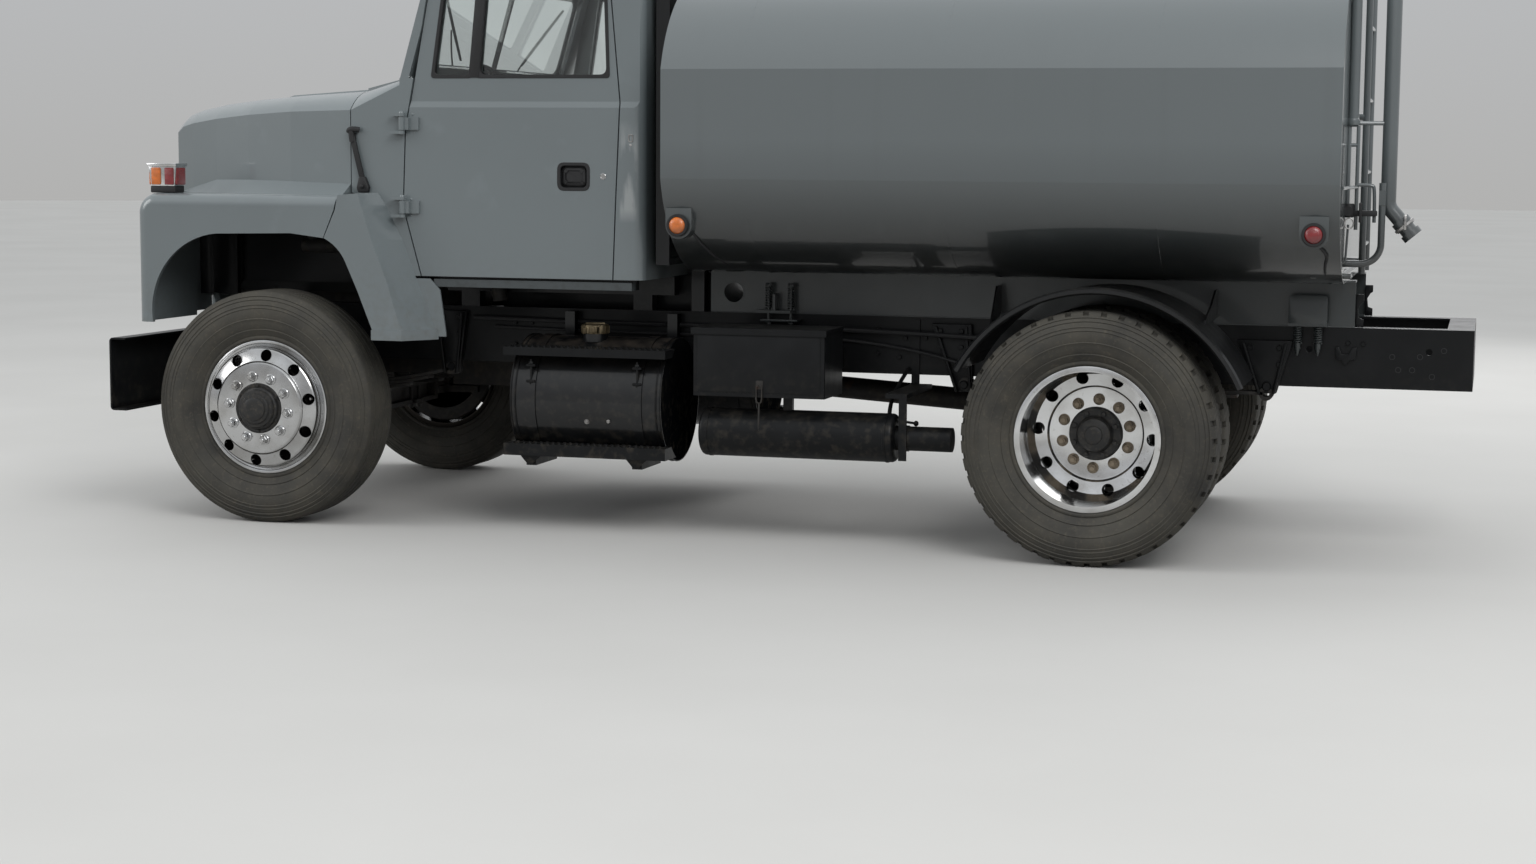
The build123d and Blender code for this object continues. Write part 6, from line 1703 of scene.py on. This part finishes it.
for pan_piece in settle_both(seat_pan, "seat_pan", TRIM):
    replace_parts(pan_piece, "seats")

# Instrument panel: gauges, switches, vents and glove lid
GAUGE_FACE_X = 1.3115
dials = []
dial_faces = []
for y, z, radius in (
    (0.56, 1.79, 0.052), (0.4, 1.79, 0.052), (0.67, 1.82, 0.026), (0.67, 1.75, 0.026), (0.29, 1.82, 0.026),
    (0.29, 1.75, 0.026), (0.48, 1.71, 0.024), (0.22, 1.82, 0.024), (0.22, 1.75, 0.024),
):
    ring = turned(((radius, 0), (radius + 0.006, 0), (radius + 0.006, 0.006), (radius + 0.002, 0.01),
                   (radius, 0.008)), 32, tube=True)
    dials.append(placed(ring, (GAUGE_FACE_X, y, z), BACK))
    face_plate = turned(((radius + 0.001, 0), (radius + 0.001, 0.002), (0.006, 0.0022), (0.005, 0.005),
                         (0.002, 0.0055)), 28)
    needle = block((0.0, -0.0015, 0.0022), (radius * 0.8, 0.0015, 0.0042), 0.0005)
    needle_turn = 60 + 700 * y
    dial_faces.append(placed(joined(face_plate, needle), (GAUGE_FACE_X, y, z), BACK, needle_turn))
settle(joined(*dials), "gauge_rings", CHROME)
settle(joined(*dial_faces), "gauge_faces", RUBBER)
panel = frame_plate(
    soft_oblong((0.16, 1.67), (0.73, 1.86), 0.03), soft_oblong((0.168, 1.678), (0.722, 1.852), 0.025),
    1.302, 1.3122, "X", 0.002
)
vents = []
for y in (-0.75, -0.35, 0.82):
    vents.append(frame_plate(
        soft_oblong((y - 0.06, 1.78), (y + 0.06, 1.85), 0.01),
        soft_oblong((y - 0.05, 1.79), (y + 0.05, 1.84), 0.006),
        1.304, 1.3122, "X", 0.001,
    ))
    vents += [block((1.3055, y - 0.05, z - 0.001), (1.3115, y + 0.05, z + 0.001), 0.0005)
              for z in spaced(1.797, 1.833, 4)]
glove_lid = plate(soft_oblong((-0.78, 1.63), (-0.3, 1.755), 0.014), 1.3065, 1.3118, "X", 0.002)
settle(joined(panel, glove_lid, *vents), "dash_panel_and_vents", TRIM)
switches = [block((1.3, y - 0.009, 1.645), (1.3118, y + 0.009, 1.665), 0.002) for y in spaced(-0.2, 0.1, 7)]
settle(joined(*switches), "dash_switches", RUBBER)

lever = joined(
    pipe(((1.2, 0.02, 1.156), (1.19, 0.02, 1.3), (1.14, 0.03, 1.5), (1.1, 0.04, 1.72)), 0.011, True, 4),
    turned_at(((0.01, 0), (0.022, 0.012), (0.027, 0.035), (0.02, 0.055), (0.008, 0.06)), 24,
              (1.1, 0.04, 1.71), UP),
)
boot = turned(((0.095, 1.1555), (0.09, 1.17), (0.07, 1.185), (0.074, 1.2), (0.05, 1.215), (0.052, 1.23),
               (0.025, 1.25), (0.0115, 1.256)), 28)
boot.matrix_world = Matrix.Translation((1.195, 0.02, 0))
settle(joined(lever, boot), "gear_lever", RUBBER)
pedals = []
for y, wide in ((0.62, 0.035), (0.49, 0.035), (0.36, 0.024)):
    pad = plate(soft_oblong((y - wide, -0.045), (y + wide, 0.045), 0.01), -0.006, 0.006, "X", 0.002)
    moved(pad, Matrix.Translation((1.42, 0, 1.3)) @ turn_about("Y", -35))
    pedals += [pad,
               pipe(((1.424, y, 1.3), (1.455, y, 1.4), (1.47, y, 1.52), (1.47, y, 1.604)), 0.009, True, 3)]
settle(joined(*pedals), "pedals", RUBBER)


# Camera at the photograph's place, floor and light


def photograph_camera():
    place = Vector((-3.0175, 11.3231, 1.6741))
    yaw, pitch, roll = math.radians(15.92), math.radians(6.34), math.radians(0.39)
    focal_share = 2533.94 / 1536
    ahead = Vector((math.sin(yaw) * math.cos(pitch), -math.cos(yaw) * math.cos(pitch), -math.sin(pitch)))
    level = ahead.cross(Vector((0, 0, 1))).normalized()
    upright = level.cross(ahead)
    right = math.cos(roll) * level + math.sin(roll) * upright
    up = math.cos(roll) * upright - math.sin(roll) * level
    camera = bpy.data.objects.new("camera", bpy.data.cameras.new("camera"))
    camera.data.sensor_width = 36
    camera.data.lens = 36 * focal_share
    camera.data.clip_end = 200
    camera.matrix_world = Matrix((
        (right.x, up.x, -ahead.x, place.x),
        (right.y, up.y, -ahead.y, place.y),
        (right.z, up.z, -ahead.z, place.z),
        (0, 0, 0, 1),
    ))
    bpy.context.scene.collection.objects.link(camera)
    bpy.context.scene.camera = camera


def pale_floor():
    deselect()
    bpy.ops.mesh.primitive_circle_add(vertices=96, radius=70, fill_type="NGON", location=NOTHING)
    floor = bpy.context.object
    floor.name = "floor"
    ground = Finish("pale_floor", (0.62, 0.61, 0.59), 0.9)
    ground.patches(0.5, 4, 0.35, 0.75, (0.58, 0.57, 0.55))
    ray = ground.nodes.new("ShaderNodeLightPath").outputs
    seen = ground.both(ray["Is Camera Ray"], ray["Is Glossy Ray"], "ADD")
    seen = ground.both(seen, ray["Is Transmission Ray"], "ADD")
    ground.coat(ground.share(seen, 1, 0), (0.13, 0.125, 0.12))
    ground.relief(ground.noise(60, 4), 0.001, 0.3)
    floor.data.materials.append(ground.material)


def soft_light():
    """A pale sky, brighter above, and three large soft lamps."""
    world = bpy.data.worlds.new("pale_sky")
    world.use_nodes = True
    tree = world.node_tree
    coordinates = tree.nodes.new("ShaderNodeTexCoord")
    split = tree.nodes.new("ShaderNodeSeparateXYZ")
    ramp = tree.nodes.new("ShaderNodeValToRGB")
    ramp.color_ramp.elements[0].position = 0.46
    ramp.color_ramp.elements[0].color = (0.5, 0.49, 0.47, 1)
    ramp.color_ramp.elements[1].position = 0.78
    ramp.color_ramp.elements[1].color = (0.95, 0.98, 1.0, 1)
    horizon = ramp.color_ramp.elements.new(0.53)
    horizon.color = (0.56, 0.57, 0.58, 1)
    low_sky = ramp.color_ramp.elements.new(0.6)
    low_sky.color = (0.62, 0.63, 0.65, 1)
    halve = tree.nodes.new("ShaderNodeMapRange")
    halve.inputs["From Min"].default_value = -1
    tree.links.new(coordinates.outputs["Generated"], split.inputs["Vector"])
    tree.links.new(split.outputs["Z"], halve.inputs["Value"])
    tree.links.new(halve.outputs["Result"], ramp.inputs["Fac"])
    tree.links.new(ramp.outputs["Color"], tree.nodes["Background"].inputs["Color"])
    tree.nodes["Background"].inputs["Strength"].default_value = 0.85
    bpy.context.scene.world = world
    lamps = (
        ("key_lamp", (-6, 9, 9), (0, 0, 1), 7.0, 520),
        ("side_lamp", (10, 5, 5), (1, 0, 1), 5.0, 220),
        ("back_lamp", (-3, -10, 7), (0, 0, 1), 7.0, 300),
    )
    for name, place, target, size, power in lamps:
        lamp = bpy.data.lights.new(name, "AREA")
        lamp.energy = power
        lamp.shape = "DISK"
        lamp.size = size
        holder = bpy.data.objects.new(name, lamp)
        holder.location = place
        holder.rotation_mode = "QUATERNION"
        holder.rotation_quaternion = (Vector(target) - Vector(place)).to_track_quat("-Z", "Y")
        bpy.context.scene.collection.objects.link(holder)


photograph_camera()
pale_floor()
soft_light()
bpy.context.scene.view_settings.view_transform = "Standard"
